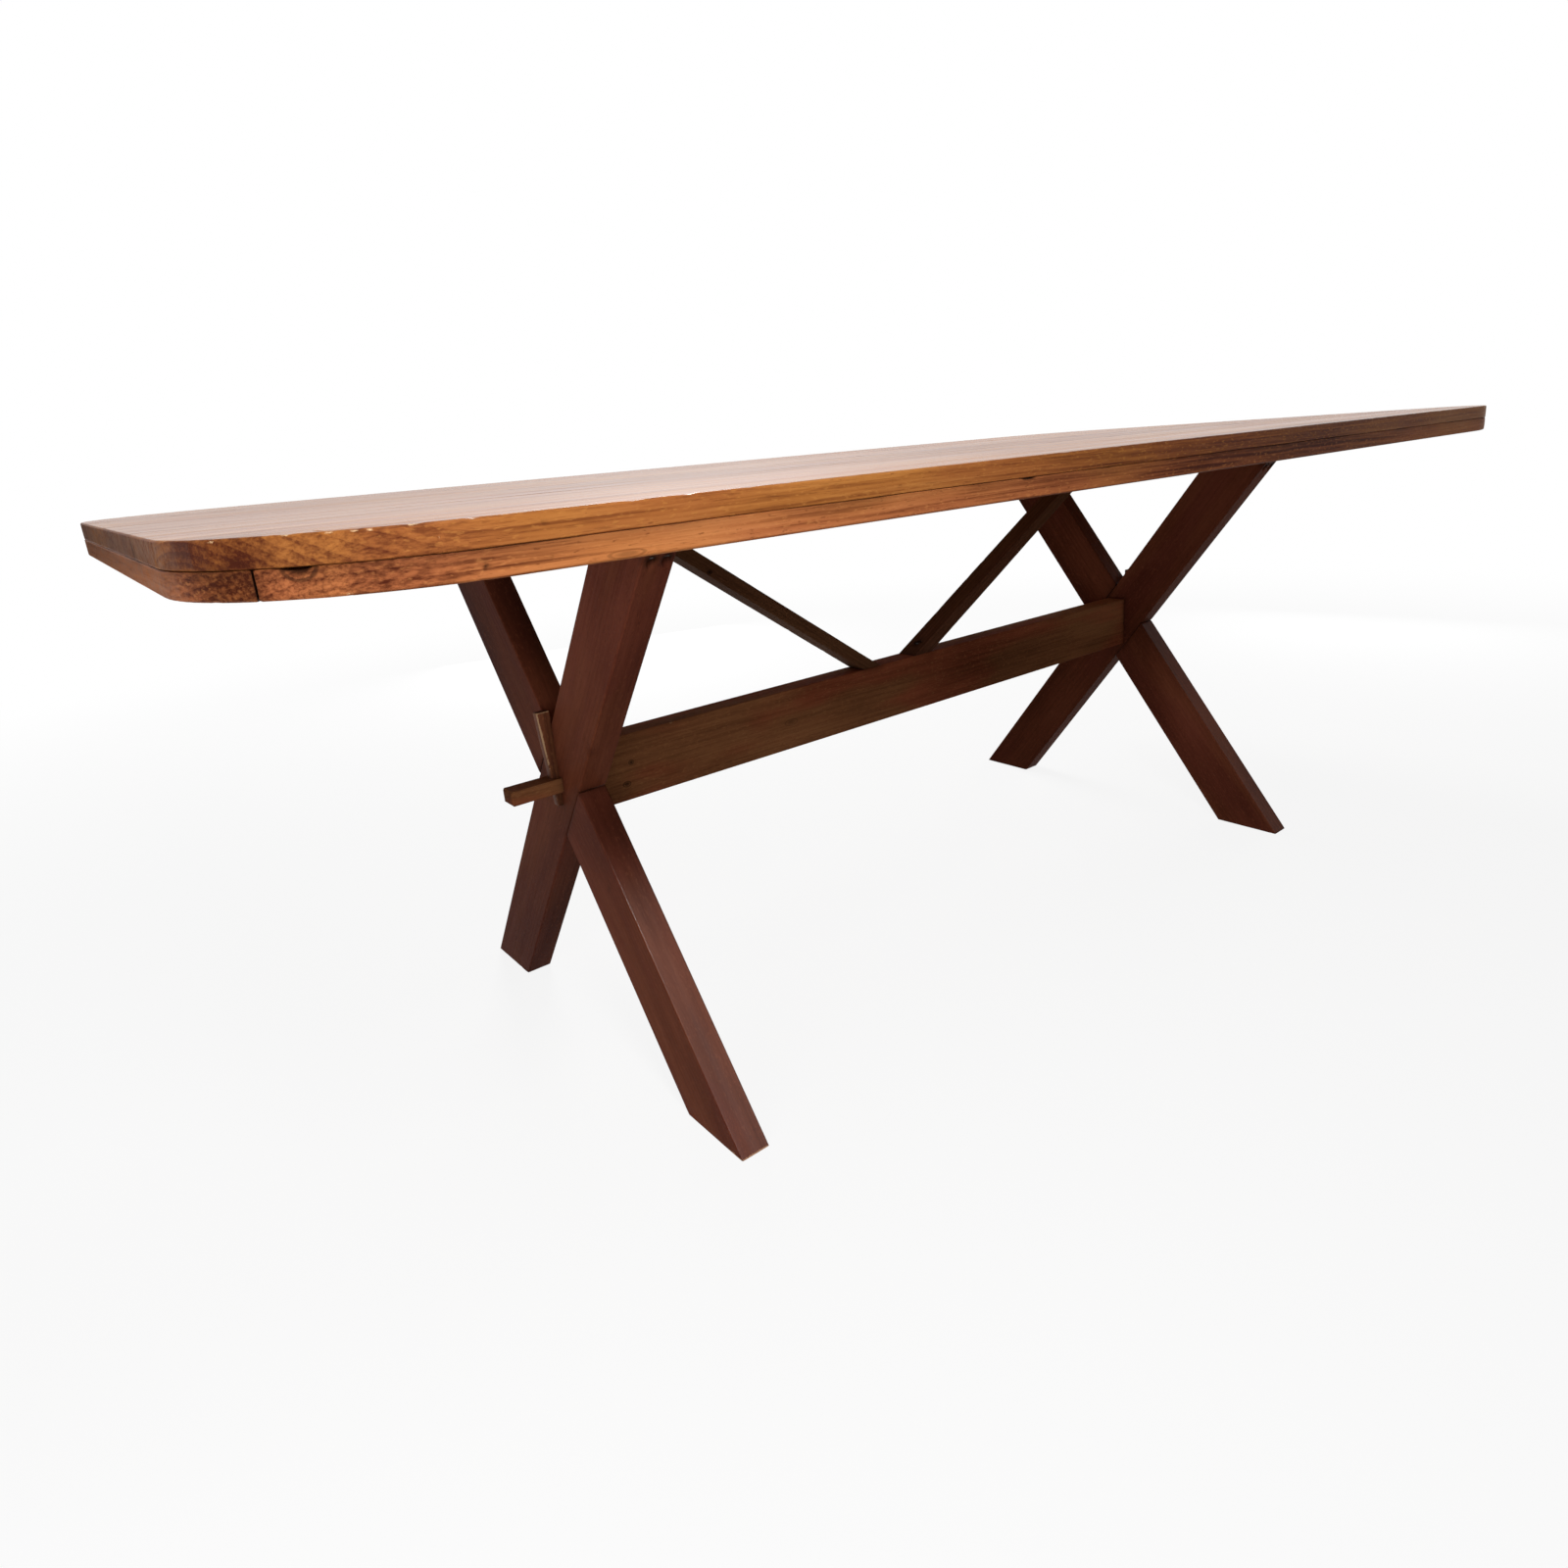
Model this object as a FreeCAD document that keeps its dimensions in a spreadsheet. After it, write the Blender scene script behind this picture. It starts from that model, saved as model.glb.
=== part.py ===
import FreeCAD, Part
import os
import re

import Sketcher

# Trestle dining table with crossed legs, a wedged stretcher and a two-layer top.
# X runs along the top, Y across it and Z up. The origin is on the floor, under the middle of the top.

SIZES = (
    ("top_length", 2050, "top, along X"),
    ("table_height", 736, "floor to the upper face"),
    ("corner_radius", 170, "rounded corners of the top, seen from above"),
    ("plank_thickness", 20, "upper layer of the top"),
    ("strip_thickness", 20, "lower layer of the top: strips and bearers"),
    ("near_plank_width", 310, "first plank, from the near edge to the first seam"),
    ("plank_width", 240, "second and third planks, each"),
    ("far_plank_width", 250, "fourth plank, to the far edge"),
    ("end_strip_width", 70, "strip under each end"),
    ("side_strip_width", 120, "strip under each long side"),
    ("edge_rounding", 2.5, "outer edges of the top's two faces"),
    ("seam_bevel", 0.8, "small bevel along the joint between the layers"),
    ("plank_bevel", 0.5, "small bevel along the seams between planks"),
    ("bearer_margin", 43, "bearer beyond the trestle and beyond the brace's upper end, along X"),
    ("trestle_reach", 627, "table's middle to a trestle's outer face"),
    ("leg_width", 89, "leg board, across its length"),
    ("leg_thickness", 38, "leg board, along X"),
    ("foot_half_spread", 290, "table's middle line to a leg's middle on the floor"),
    ("top_half_spread", 255.5, "table's middle line to a leg's middle at its top"),
    ("leg_rounding", 2, "long edges of the legs and the stretcher"),
    ("stretcher_height", 90, "stretcher board, on edge"),
    ("stretcher_thickness", 38, "stretcher board, along Y"),
    ("tenon_height", 19, "tenon through the crossing, along Z"),
    ("tenon_width", 26, "tenon through the crossing, along Y"),
    ("tenon_projection", 68, "tenon beyond the outer face of the legs"),
    ("tenon_bevel", 2, "worn edges of the tenon's end"),
    ("tenon_clearance", 0.3, "gap all round the tenon in the legs"),
    ("wedge_length", 126, "tusk wedge, along Z"),
    ("wedge_rise", 97, "top of the wedge above the crossing"),
    ("wedge_top_width", 17, "wedge at its top, along X"),
    ("wedge_foot_width", 7, "wedge at its foot, along X"),
    ("wedge_thickness", 12, "wedge, along Y"),
    ("wedge_clearance", 0.3, "gap at each side of the wedge in its slot"),
    ("slot_relief", 3, "slot cut back inside the leg's face so that the wedge draws tight"),
    ("wedge_bevel", 1, "worn edges of the wedge"),
    ("brace_depth", 20, "brace slat, across its length"),
    ("brace_width", 38, "brace slat, along Y"),
    ("brace_rounding", 1.5, "long edges of the braces"),
    ("brace_top_gap", 89, "trestle's inner face to the middle of a brace's upper end"),
    ("brace_foot_gap", 114, "between the feet of the two braces"),
    ("brace_foot_shift", -37, "middle between the brace feet, from the table's middle"),
    ("screw_head", 8.5, "screw head diameter"),
    ("head_height", 3, "screw head, along its axis"),
    ("screw_shank", 4.5, "screw shank diameter"),
    ("screw_tip", 6, "pointed end of a screw"),
    ("screw_slot", 1.2, "driver slot, width and depth"),
    ("head_clearance", 0.5, "gap round a head in its recess"),
    ("shank_clearance", 0.15, "gap round a shank in its hole"),
    ("pilot_gap", 1, "hole beyond the end of a screw or dowel"),
    ("head_sink", 0.5, "heads below the underside of the strips and bearers"),
    ("screw_cover", 1.5, "wood left above the holes of the leg screws"),
    ("board_screw_length", 28, "screws of the strips and bearers"),
    ("brace_screw_length", 25, "screws of the brace ends"),
    ("leg_screw_spacing", 18, "between the two screws of a leg, along X"),
    ("leg_screw_inset", 27, "leg screw from the leg's outer top corner, along Y"),
    ("leg_screw_sink", 8, "leg screw's seat above the sloping edge"),
    ("brace_screw_inset", 28, "brace screw from the brace's corner, along X"),
    ("brace_screw_sink", 5, "brace screw's seat inside the sloping face"),
    ("bearer_screw_inset", 20, "bearer screws from the bearer's long edges"),
    ("strip_screw_inset", 185, "outer screws of a side strip from the top's ends"),
    ("dowel_diameter", 8, "dowels across the plank seams"),
    ("dowel_length", 40, "dowels across the plank seams"),
    ("dowel_bevel", 1, "bevelled ends of a dowel"),
    ("dowel_inset", 175, "outer dowels of a seam from the top's ends"),
)
SIDE_STRIP_SCREWS = 8
SEAM_DOWELS = 6

doc = FreeCAD.newDocument("trestle_table")
sheet = doc.addObject("Spreadsheet::Sheet", "sheet")
for row, (alias, size, note) in enumerate(SIZES, 1):
    sheet.set(f"A{row}", note)
    sheet.set(f"B{row}", str(size))
    sheet.setAlias(f"B{row}", alias)
doc.recompute()

# Levels and places that several pieces share, as formulas of the sizes
UNDERSIDE = "(table_height - plank_thickness - strip_thickness)"
PLANK_BASE = "(table_height - plank_thickness)"
END_X = "(top_length / 2)"
SIDE_Y = "((near_plank_width + 2 * plank_width + far_plank_width) / 2)"
SEAMS = tuple(f"(near_plank_width + {before} * plank_width - {SIDE_Y})" for before in range(3))
PLANK_EDGES = (f"(-{SIDE_Y})", *SEAMS, SIDE_Y)
BEARER_END = f"({SIDE_Y} - side_strip_width)"
SHOULDER_X = "(trestle_reach - leg_thickness)"
LEG_SLOPE = f"({UNDERSIDE} / (foot_half_spread + top_half_spread))"
CROSSING = f"({LEG_SLOPE} * foot_half_spread)"
LEG_HALF = f"(leg_width / 2 * sqrt(1 + 1 / {LEG_SLOPE} ^ 2))"
LEG_SCREW_Y = f"(top_half_spread + {LEG_HALF} - leg_screw_inset)"
LEG_SEAT = f"({UNDERSIDE} - leg_screw_inset * {LEG_SLOPE} + leg_screw_sink)"
LEG_PILOT = "(strip_thickness - screw_cover)"
STRETCHER_TOP = f"({CROSSING} + stretcher_height / 2)"
TENON_TIP = "(trestle_reach + tenon_projection)"
WEDGE_TOP = f"({CROSSING} + wedge_rise)"
WEDGE_FOOT = f"({WEDGE_TOP} - wedge_length)"
BRACE_TOP = f"({SHOULDER_X} - brace_top_gap)"
BRACE_RISE = f"({UNDERSIDE} - {STRETCHER_TOP})"
BEARER_OUTSIDE = "(trestle_reach + bearer_margin)"
BEARER_INSIDE = f"({BRACE_TOP} - bearer_margin)"
HEAD_RECESS = "(head_height + head_sink)"
BOARD_SEAT = f"({UNDERSIDE} + {HEAD_RECESS})"
SHANK_HOLE = "(screw_shank + 2 * shank_clearance)"
HEAD_HOLE = "(screw_head + 2 * head_clearance)"

subparts = []


def formula(text):
    """The text with each size written as a reference to its cell."""
    return re.sub(r"\b[a-z]+(?:_[a-z]+)+\b", lambda name: "sheet." + name.group(0), text)


def value(text):
    return float(sheet.evalExpression(text))


def bind(item, setting, text):
    item.setExpression(setting, formula(text))


def place(item, x="0", y="0", z="0"):
    for axis, text in zip("xyz", (x, y, z)):
        bind(item, f"Placement.Base.{axis}", text)


def new_body(label, keep=True):
    body = doc.addObject("PartDesign::Body", label)
    body.Label = label
    if keep:
        subparts.append(body)
    return body


def new_sketch(body, plane, name, level="0"):
    """A sketch on one of the body's own planes, raised along the plane's normal."""
    sketch = body.newObject("Sketcher::SketchObject", f"{body.Name}_{name}")
    support = next(item for item in body.Origin.OriginFeatures if item.Role == plane)
    sketch.AttachmentSupport = [(support, "")]
    sketch.MapMode = "FlatFace"
    bind(sketch, "AttachmentOffset.Base.z", level)
    return sketch


def pin_point(sketch, curve, point, x, y):
    """Tie a point of a sketch curve to its two coordinates."""
    for kind, text in (("DistanceX", x), ("DistanceY", y)):
        rule = Sketcher.Constraint(kind, -1, 1, curve, point, value(text))
        bind(sketch, f"Constraints[{sketch.addConstraint(rule)}]", text)


def polygon(body, plane, name, corners, level="0"):
    sketch = new_sketch(body, plane, name, level)
    points = [FreeCAD.Vector(value(x), value(y), 0) for x, y in corners]
    count = len(points)
    for index in range(count):
        sketch.addGeometry(Part.LineSegment(points[index], points[(index + 1) % count]))
    for index in range(count):
        sketch.addConstraint(Sketcher.Constraint("Coincident", index, 2, (index + 1) % count, 1))
    for index, (x, y) in enumerate(corners):
        pin_point(sketch, index, 1, x, y)
    return sketch


def box_corners(left, right, low, high):
    return ((left, low), (right, low), (right, high), (left, high))


def circles(body, plane, name, centres, diameter, level="0"):
    sketch = new_sketch(body, plane, name, level)
    for index, (x, y) in enumerate(centres):
        centre = FreeCAD.Vector(value(x), value(y), 0)
        sketch.addGeometry(Part.Circle(centre, FreeCAD.Vector(0, 0, 1), value(diameter) / 2))
        pin_point(sketch, index, 3, x, y)
        rule = Sketcher.Constraint("Diameter", index, value(diameter))
        bind(sketch, f"Constraints[{sketch.addConstraint(rule)}]", diameter)
    return sketch


def pad(body, sketch, name, length, symmetric=False):
    feature = body.newObject("PartDesign::Pad", f"{body.Name}_{name}")
    feature.Profile = sketch
    bind(feature, "Length", length)
    feature.SideType = "Symmetric" if symmetric else "One side"
    doc.recompute()
    return feature


def cut(body, sketch, name, depth=None, forward=False, symmetric=False):
    """Cut a sketch's outline out of the body, through all of it where no depth is given."""
    before = body.Shape.Volume
    feature = body.newObject("PartDesign::Pocket", f"{body.Name}_{name}")
    feature.Profile = sketch
    if depth is None:
        feature.Type = "ThroughAll"
    else:
        bind(feature, "Length", depth)
    feature.Reversed = forward
    feature.SideType = "Symmetric" if symmetric else "One side"
    doc.recompute()
    if not body.Shape.Volume < before:
        raise RuntimeError(f"{feature.Name} cuts nothing")
    return feature


def soften(body, name, kind, size, chosen):
    """Round or bevel the edges of the body that the test picks."""
    base = body.Tip
    edges = [f"Edge{number}" for number, edge in enumerate(base.Shape.Edges, 1) if chosen(edge)]
    feature = body.newObject(f"PartDesign::{kind}", f"{body.Name}_{name}")
    feature.Base = (base, edges)
    bind(feature, "Radius" if kind == "Fillet" else "Size", size)
    doc.recompute()


def near(number, target):
    return abs(number - target) < 0.01


def at_level(edge, level):
    return near(edge.BoundBox.ZMin, level) and near(edge.BoundBox.ZMax, level)


def on_plane_y(edge, places):
    box = edge.BoundBox
    return any(near(box.YMin, place_y) and near(box.YMax, place_y) for place_y in places)


def is_straight_along(edge, axis):
    """Whether an edge is a line in the direction of the axis, either way."""
    if not isinstance(edge.Curve, Part.Line):
        return False
    return edge.Curve.Direction.cross(axis).Length < 0.001


def middle(first, second):
    return f"(({first} + {second}) / 2)"


def evenly(inset, count):
    """Places along X, evenly spaced, with the outer two set in from the top's ends."""
    return [f"(({END_X} - {inset}) * ({2 * index} / {count - 1} - 1))" for index in range(count)]


def pairs(centre, spacing):
    return (f"({centre} - {spacing} / 2)", f"({centre} + {spacing} / 2)")


# Places of the screws that hold the lower layer and the bearers to each plank
BEARER_LIMITS = (f"(-{BEARER_END})", *SEAMS, BEARER_END)
BEARER_ROWS = [middle(*limits) for limits in zip(BEARER_LIMITS, BEARER_LIMITS[1:])]
PLANK_MIDDLES = [middle(*limits) for limits in zip(PLANK_EDGES, PLANK_EDGES[1:])]
END_STRIP_X = f"({END_X} - end_strip_width / 2)"
SIDE_STRIP_Y = f"({SIDE_Y} - side_strip_width / 2)"
SIDE_SCREWS_X = evenly("strip_screw_inset", SIDE_STRIP_SCREWS)
DOWELS_X = evenly("dowel_inset", SEAM_DOWELS)
LEG_MIDDLE = "(trestle_reach - leg_thickness / 2)"


def bearer_screw_places(side, row):
    columns = (f"({BEARER_OUTSIDE} - bearer_screw_inset)", f"({BEARER_INSIDE} + bearer_screw_inset)")
    return [(f"({side} * {x})", row) for x in columns]


def leg_screw_places(side):
    columns = pairs(f"({side} * {LEG_MIDDLE})", "leg_screw_spacing")
    return [(x, f"({lean} * {LEG_SCREW_Y})") for lean in (-1, 1) for x in columns]


def brace_foot(side):
    return f"(brace_foot_shift + {side} * brace_foot_gap / 2)"


def brace_slope(side):
    """Rise of a brace for each millimetre along X."""
    return f"({BRACE_RISE} / abs({side} * {BRACE_TOP} - {brace_foot(side)}))"


def brace_half(side):
    """Half the level width of a brace, where it meets the stretcher or the bearer."""
    return f"(brace_depth / 2 * sqrt(1 + 1 / {brace_slope(side)} ^ 2))"


def brace_screw_top(side):
    x = f"({side} * ({BRACE_TOP} + {brace_half(side)} - brace_screw_inset))"
    seat = f"({UNDERSIDE} - brace_screw_inset * {brace_slope(side)} + brace_screw_sink)"
    return x, seat


def brace_screw_foot(side):
    x = f"({brace_foot(side)} - {side} * ({brace_half(side)} - brace_screw_inset))"
    seat = f"({STRETCHER_TOP} + brace_screw_inset * {brace_slope(side)} - brace_screw_sink)"
    return x, seat


def make_plank(number):
    """One board of the upper layer, drilled for its dowels and for the screws from below."""
    low, high = PLANK_EDGES[number - 1], PLANK_EDGES[number]
    body = new_body(f"top_plank_{number}")
    outline = polygon(body, "XY_Plane", "outline", box_corners(f"(-{END_X})", END_X, low, high))
    pad(body, outline, "board", "plank_thickness")
    seams = [value(seam) for seam in SEAMS if seam in (low, high)]
    outer = [value(edge) for edge in (low, high) if edge not in SEAMS]
    if outer:
        soften(body, "corners", "Fillet", "corner_radius",
               lambda edge: is_straight_along(edge, FreeCAD.Vector(0, 0, 1)) and on_plane_y(edge, outer))
    soften(body, "upper_edge", "Fillet", "edge_rounding",
           lambda edge: at_level(edge, value("plank_thickness")) and not on_plane_y(edge, seams))
    soften(body, "joint_edge", "Chamfer", "seam_bevel",
           lambda edge: at_level(edge, 0) and not on_plane_y(edge, seams))
    soften(body, "seam_edge", "Chamfer", "plank_bevel",
           lambda edge: at_level(edge, value("plank_thickness")) and on_plane_y(edge, seams))

    screws = [spot for side in (-1, 1) for spot in bearer_screw_places(side, BEARER_ROWS[number - 1])]
    screws += [(f"({side} * {END_STRIP_X})", PLANK_MIDDLES[number - 1]) for side in (-1, 1)]
    if outer:
        row = f"({'-' if low not in SEAMS else ''}{SIDE_STRIP_Y})"
        screws += [(x, row) for x in SIDE_SCREWS_X]
    pilots = circles(body, "XY_Plane", "pilots", screws, SHANK_HOLE)
    depth = f"{HEAD_RECESS} + board_screw_length - strip_thickness + pilot_gap"
    cut(body, pilots, "pilot_holes", depth, True)
    for seam in SEAMS:
        if seam in (low, high):
            spots = [(x, "plank_thickness / 2") for x in DOWELS_X]
            name = f"dowels_{SEAMS.index(seam) + 1}"
            holes = circles(body, "XZ_Plane", name, spots, "dowel_diameter + 2 * shank_clearance", f"-{seam}")
            cut(body, holes, f"{name}_holes", "dowel_length + 2 * pilot_gap", symmetric=True)
    place(body, z=PLANK_BASE)


def screw_holes(body, places):
    """A clear hole and a head recess for each screw, from the board's underside."""
    cut(body, circles(body, "XY_Plane", "shanks", places, SHANK_HOLE), "shank_holes", forward=True)
    recesses = circles(body, "XY_Plane", "heads", places, HEAD_HOLE)
    cut(body, recesses, "head_recesses", HEAD_RECESS, True)


def make_strip(label, waste, screws):
    """One board of the lower layer: the rounded outline, sawn away beyond its mitres and inner edge."""
    body = new_body(label)
    outline = polygon(body, "XY_Plane", "outline", box_corners(f"(-{END_X})", END_X, f"(-{SIDE_Y})", SIDE_Y))
    pad(body, outline, "layer", "strip_thickness")
    soften(body, "corners", "Fillet", "corner_radius",
           lambda edge: is_straight_along(edge, FreeCAD.Vector(0, 0, 1)))
    soften(body, "lower_edge", "Fillet", "edge_rounding", lambda edge: at_level(edge, 0))
    soften(body, "joint_edge", "Chamfer", "seam_bevel",
           lambda edge: at_level(edge, value("strip_thickness")))
    cut(body, polygon(body, "XY_Plane", "waste", waste), "saw_cut", forward=True)
    screw_holes(body, screws)
    place(body, z=UNDERSIDE)


def strip_corner(side_x, side_y, reach):
    """A point on the mitre line of one corner: inside the frame at reach -1, beyond it at 1."""
    return (f"({side_x} * ({END_X} + {reach} * end_strip_width))",
            f"({side_y} * ({SIDE_Y} + {reach} * side_strip_width))")


def make_strips():
    for side, name in ((-1, "left"), (1, "right")):
        waste = (strip_corner(side, -1, 1), strip_corner(side, -1, -1), strip_corner(side, 1, -1),
                 strip_corner(side, 1, 1), strip_corner(-side, 1, 1), strip_corner(-side, -1, 1))
        screws = [(f"({side} * {END_STRIP_X})", row) for row in PLANK_MIDDLES]
        make_strip(f"end_strip_{name}", waste, screws)
    for side, name in ((-1, "near"), (1, "far")):
        waste = (strip_corner(-1, side, 1), strip_corner(-1, side, -1), strip_corner(1, side, -1),
                 strip_corner(1, side, 1), strip_corner(1, -side, 1), strip_corner(-1, -side, 1))
        screws = [(x, f"({side} * {SIDE_STRIP_Y})") for x in SIDE_SCREWS_X]
        make_strip(f"side_strip_{name}", waste, screws)


def make_bearer(side, name):
    """The board across the underside that takes one trestle's legs and one brace."""
    body = new_body(f"bearer_{name}")
    inside, outside = f"({side} * {BEARER_INSIDE})", f"({side} * {BEARER_OUTSIDE})"
    corners = box_corners(inside, outside, f"(-{BEARER_END})", BEARER_END)
    outline = polygon(body, "XY_Plane", "outline", corners)
    pad(body, outline, "board", "strip_thickness")
    screw_holes(body, [spot for row in BEARER_ROWS for spot in bearer_screw_places(side, row)])
    legs = circles(body, "XY_Plane", "legs", leg_screw_places(side), SHANK_HOLE)
    cut(body, legs, "leg_pilots", LEG_PILOT, True)
    x, seat = brace_screw_top(side)
    brace = circles(body, "XY_Plane", "brace", [(x, "0")], SHANK_HOLE)
    cut(body, brace, "brace_pilot", f"{seat} + brace_screw_length - {UNDERSIDE} + pilot_gap", True)
    place(body, z=UNDERSIDE)


def leg_band(lean, low, high):
    """Corners, as Y and Z, of a leg board between two levels. Its top leans to the sign's side."""
    def across(level, edge):
        return f"({lean} * ({level} - {CROSSING}) / {LEG_SLOPE} + {edge} * {LEG_HALF})"
    return ((across(low, -1), low), (across(low, 1), low), (across(high, 1), high), (across(high, -1), high))


def make_leg(label, side, lean, notch_outside):
    """A leg board, drawn with its outer face on the YZ plane and half-lapped where its partner crosses."""
    body = new_body(label)
    outline = polygon(body, "YZ_Plane", "outline", leg_band(lean, "0", UNDERSIDE))
    pad(body, outline, "board", "leg_thickness")
    along = FreeCAD.Vector(0, lean, value(LEG_SLOPE)).normalize()
    soften(body, "long_edges", "Fillet", "leg_rounding", lambda edge: is_straight_along(edge, along))

    reach = f"leg_width * sqrt(1 + {LEG_SLOPE} ^ 2)"
    partner = leg_band(-lean, f"({CROSSING} - {reach})", f"({CROSSING} + {reach})")
    notch_level = "0" if notch_outside else "leg_thickness / 2"
    notch = polygon(body, "YZ_Plane", "partner", partner, notch_level)
    cut(body, notch, "half_lap", "leg_thickness / 2", True)

    half_width, half_height = "(tenon_width / 2 + tenon_clearance)", "(tenon_height / 2 + tenon_clearance)"
    opening = box_corners(f"(-{half_width})", half_width,
                          f"({CROSSING} - {half_height})", f"({CROSSING} + {half_height})")
    cut(body, polygon(body, "YZ_Plane", "mortise", opening), "mortise_cut", forward=True)

    places = [(x, f"({lean} * {LEG_SCREW_Y})") for x in pairs("leg_thickness / 2", "leg_screw_spacing")]
    cut(body, circles(body, "XY_Plane", "shanks", places, SHANK_HOLE, LEG_SEAT), "shank_holes", forward=True)
    cut(body, circles(body, "XY_Plane", "heads", places, HEAD_HOLE, LEG_SEAT), "head_recesses")
    if side > 0:
        body.Placement.Rotation = FreeCAD.Rotation(FreeCAD.Vector(0, 0, 1), 180)
    place(body, x=f"{side} * trestle_reach")


def wedge_width(level):
    taper = "(wedge_top_width - wedge_foot_width) / wedge_length"
    return f"(wedge_foot_width + {taper} * ({level} - {WEDGE_FOOT}))"


def wedge_corners(side, inner, low, high):
    """Corners, as X and Z, of a wedge or its slot: upright against the leg, sloping outside."""
    return ((f"({side} * {inner})", low), (f"({side} * (trestle_reach + {wedge_width(low)}))", low),
            (f"({side} * (trestle_reach + {wedge_width(high)}))", high), (f"({side} * {inner})", high))


def make_wedge(side, name):
    body = new_body(f"wedge_{name}")
    corners = wedge_corners(side, "trestle_reach", WEDGE_FOOT, WEDGE_TOP)
    pad(body, polygon(body, "XZ_Plane", "outline", corners), "blank", "wedge_thickness", symmetric=True)
    bearing = value(f"{side} * trestle_reach")
    soften(body, "worn_edges", "Chamfer", "wedge_bevel",
           lambda edge: not (near(edge.BoundBox.XMin, bearing) and near(edge.BoundBox.XMax, bearing)))


def make_stretcher():
    """The board on edge between the trestles, with a tenon and a wedge slot at each end."""
    body = new_body("stretcher")
    outline = box_corners(f"(-{SHOULDER_X})", SHOULDER_X,
                          f"({CROSSING} - stretcher_height / 2)", STRETCHER_TOP)
    pad(body, polygon(body, "XZ_Plane", "outline", outline), "board", "stretcher_thickness", symmetric=True)
    soften(body, "long_edges", "Fillet", "leg_rounding",
           lambda edge: is_straight_along(edge, FreeCAD.Vector(1, 0, 0)))
    tenons = box_corners(f"(-{TENON_TIP})", TENON_TIP,
                         f"({CROSSING} - tenon_height / 2)", f"({CROSSING} + tenon_height / 2)")
    pad(body, polygon(body, "XZ_Plane", "tenons", tenons), "tenon_bar", "tenon_width", symmetric=True)
    tip = value(TENON_TIP)
    soften(body, "tenon_tips", "Chamfer", "tenon_bevel",
           lambda edge: near(abs(edge.BoundBox.XMin), tip) and near(abs(edge.BoundBox.XMax), tip))
    for side, name in ((-1, "left"), (1, "right")):
        slot = wedge_corners(side, "(trestle_reach - slot_relief)",
                             f"({CROSSING} - tenon_height)", f"({CROSSING} + tenon_height)")
        slot_sketch = polygon(body, "XZ_Plane", f"slot_{name}", slot)
        cut(body, slot_sketch, f"slot_{name}_cut", "wedge_thickness + 2 * wedge_clearance", symmetric=True)
        x, seat = brace_screw_foot(side)
        pilot = circles(body, "XY_Plane", f"pilot_{name}", [(x, "0")], SHANK_HOLE, STRETCHER_TOP)
        cut(body, pilot, f"pilot_{name}_hole", f"{STRETCHER_TOP} - {seat} + brace_screw_length + pilot_gap")


def make_brace(side, name):
    """A slat from the stretcher up to the bearer, sawn level at both ends."""
    body = new_body(f"brace_{name}")
    foot, top, half = brace_foot(side), f"({side} * {BRACE_TOP})", brace_half(side)
    outline = ((f"({foot} - {half})", STRETCHER_TOP), (f"({foot} + {half})", STRETCHER_TOP),
               (f"({top} + {half})", UNDERSIDE), (f"({top} - {half})", UNDERSIDE))
    pad(body, polygon(body, "XZ_Plane", "outline", outline), "slat", "brace_width", symmetric=True)
    along = FreeCAD.Vector(side, 0, value(brace_slope(side))).normalize()
    soften(body, "long_edges", "Fillet", "brace_rounding", lambda edge: is_straight_along(edge, along))
    screws = (("top", brace_screw_top(side), True), ("foot", brace_screw_foot(side), False))
    for end, (x, seat), upward in screws:
        shank = circles(body, "XY_Plane", f"{end}_shank", [(x, "0")], SHANK_HOLE, seat)
        cut(body, shank, f"{end}_shank_hole", forward=upward, depth="brace_depth * 2")
        head = circles(body, "XY_Plane", f"{end}_head", [(x, "0")], HEAD_HOLE, seat)
        cut(body, head, f"{end}_head_recess", forward=not upward, depth="brace_depth * 2")


def turned(label, profile):
    """A round piece about Z from its half profile, as radius and Z. Groups are made of copies of it."""
    body = new_body(label, keep=False)
    sketch = polygon(body, "XZ_Plane", "profile", profile)
    feature = body.newObject("PartDesign::Revolution", f"{label}_turned")
    feature.Profile = sketch
    feature.ReferenceAxis = (sketch, ["V_Axis"])
    feature.Angle = 360
    doc.recompute()
    return body


def make_screw(label, length):
    """A slotted screw that points up, with the seat of its head at the origin."""
    head, shank = "(screw_head / 2)", "(screw_shank / 2)"
    profile = (("0", "-head_height"), (head, "-head_height"), (head, "0"), (shank, "0"),
               (shank, f"({length} - screw_tip)"), ("0", length))
    body = turned(label, profile)
    slot = box_corners("(-screw_head)", "screw_head", "(-screw_slot / 2)", "(screw_slot / 2)")
    sketch = polygon(body, "XY_Plane", "slot", slot, "-head_height")
    cut(body, sketch, "driver_slot", "screw_slot", True)
    return body


def make_dowel():
    radius, half = "(dowel_diameter / 2)", "(dowel_length / 2)"
    narrow, straight = f"({radius} - dowel_bevel)", f"({half} - dowel_bevel)"
    return turned("dowel", (("0", f"(-{half})"), (narrow, f"(-{half})"), (radius, f"(-{straight})"),
                            (radius, straight), (narrow, half), ("0", half)))


def group(label, piece, places, turn=None):
    """Copies of one piece at several places, kept as one sub-part. A place may ask to be turned over."""
    copies = []
    for index, (x, y, z, rotated) in enumerate(places, 1):
        copy = doc.addObject("App::Link", f"{label}_{index}")
        copy.LinkedObject = piece
        if rotated:
            copy.Placement = FreeCAD.Placement(FreeCAD.Vector(), turn)
        place(copy, x, y, z)
        copies.append(copy)
    holder = doc.addObject("Part::Compound", label)
    holder.Label = label
    holder.Links = copies
    subparts.append(holder)


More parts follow.
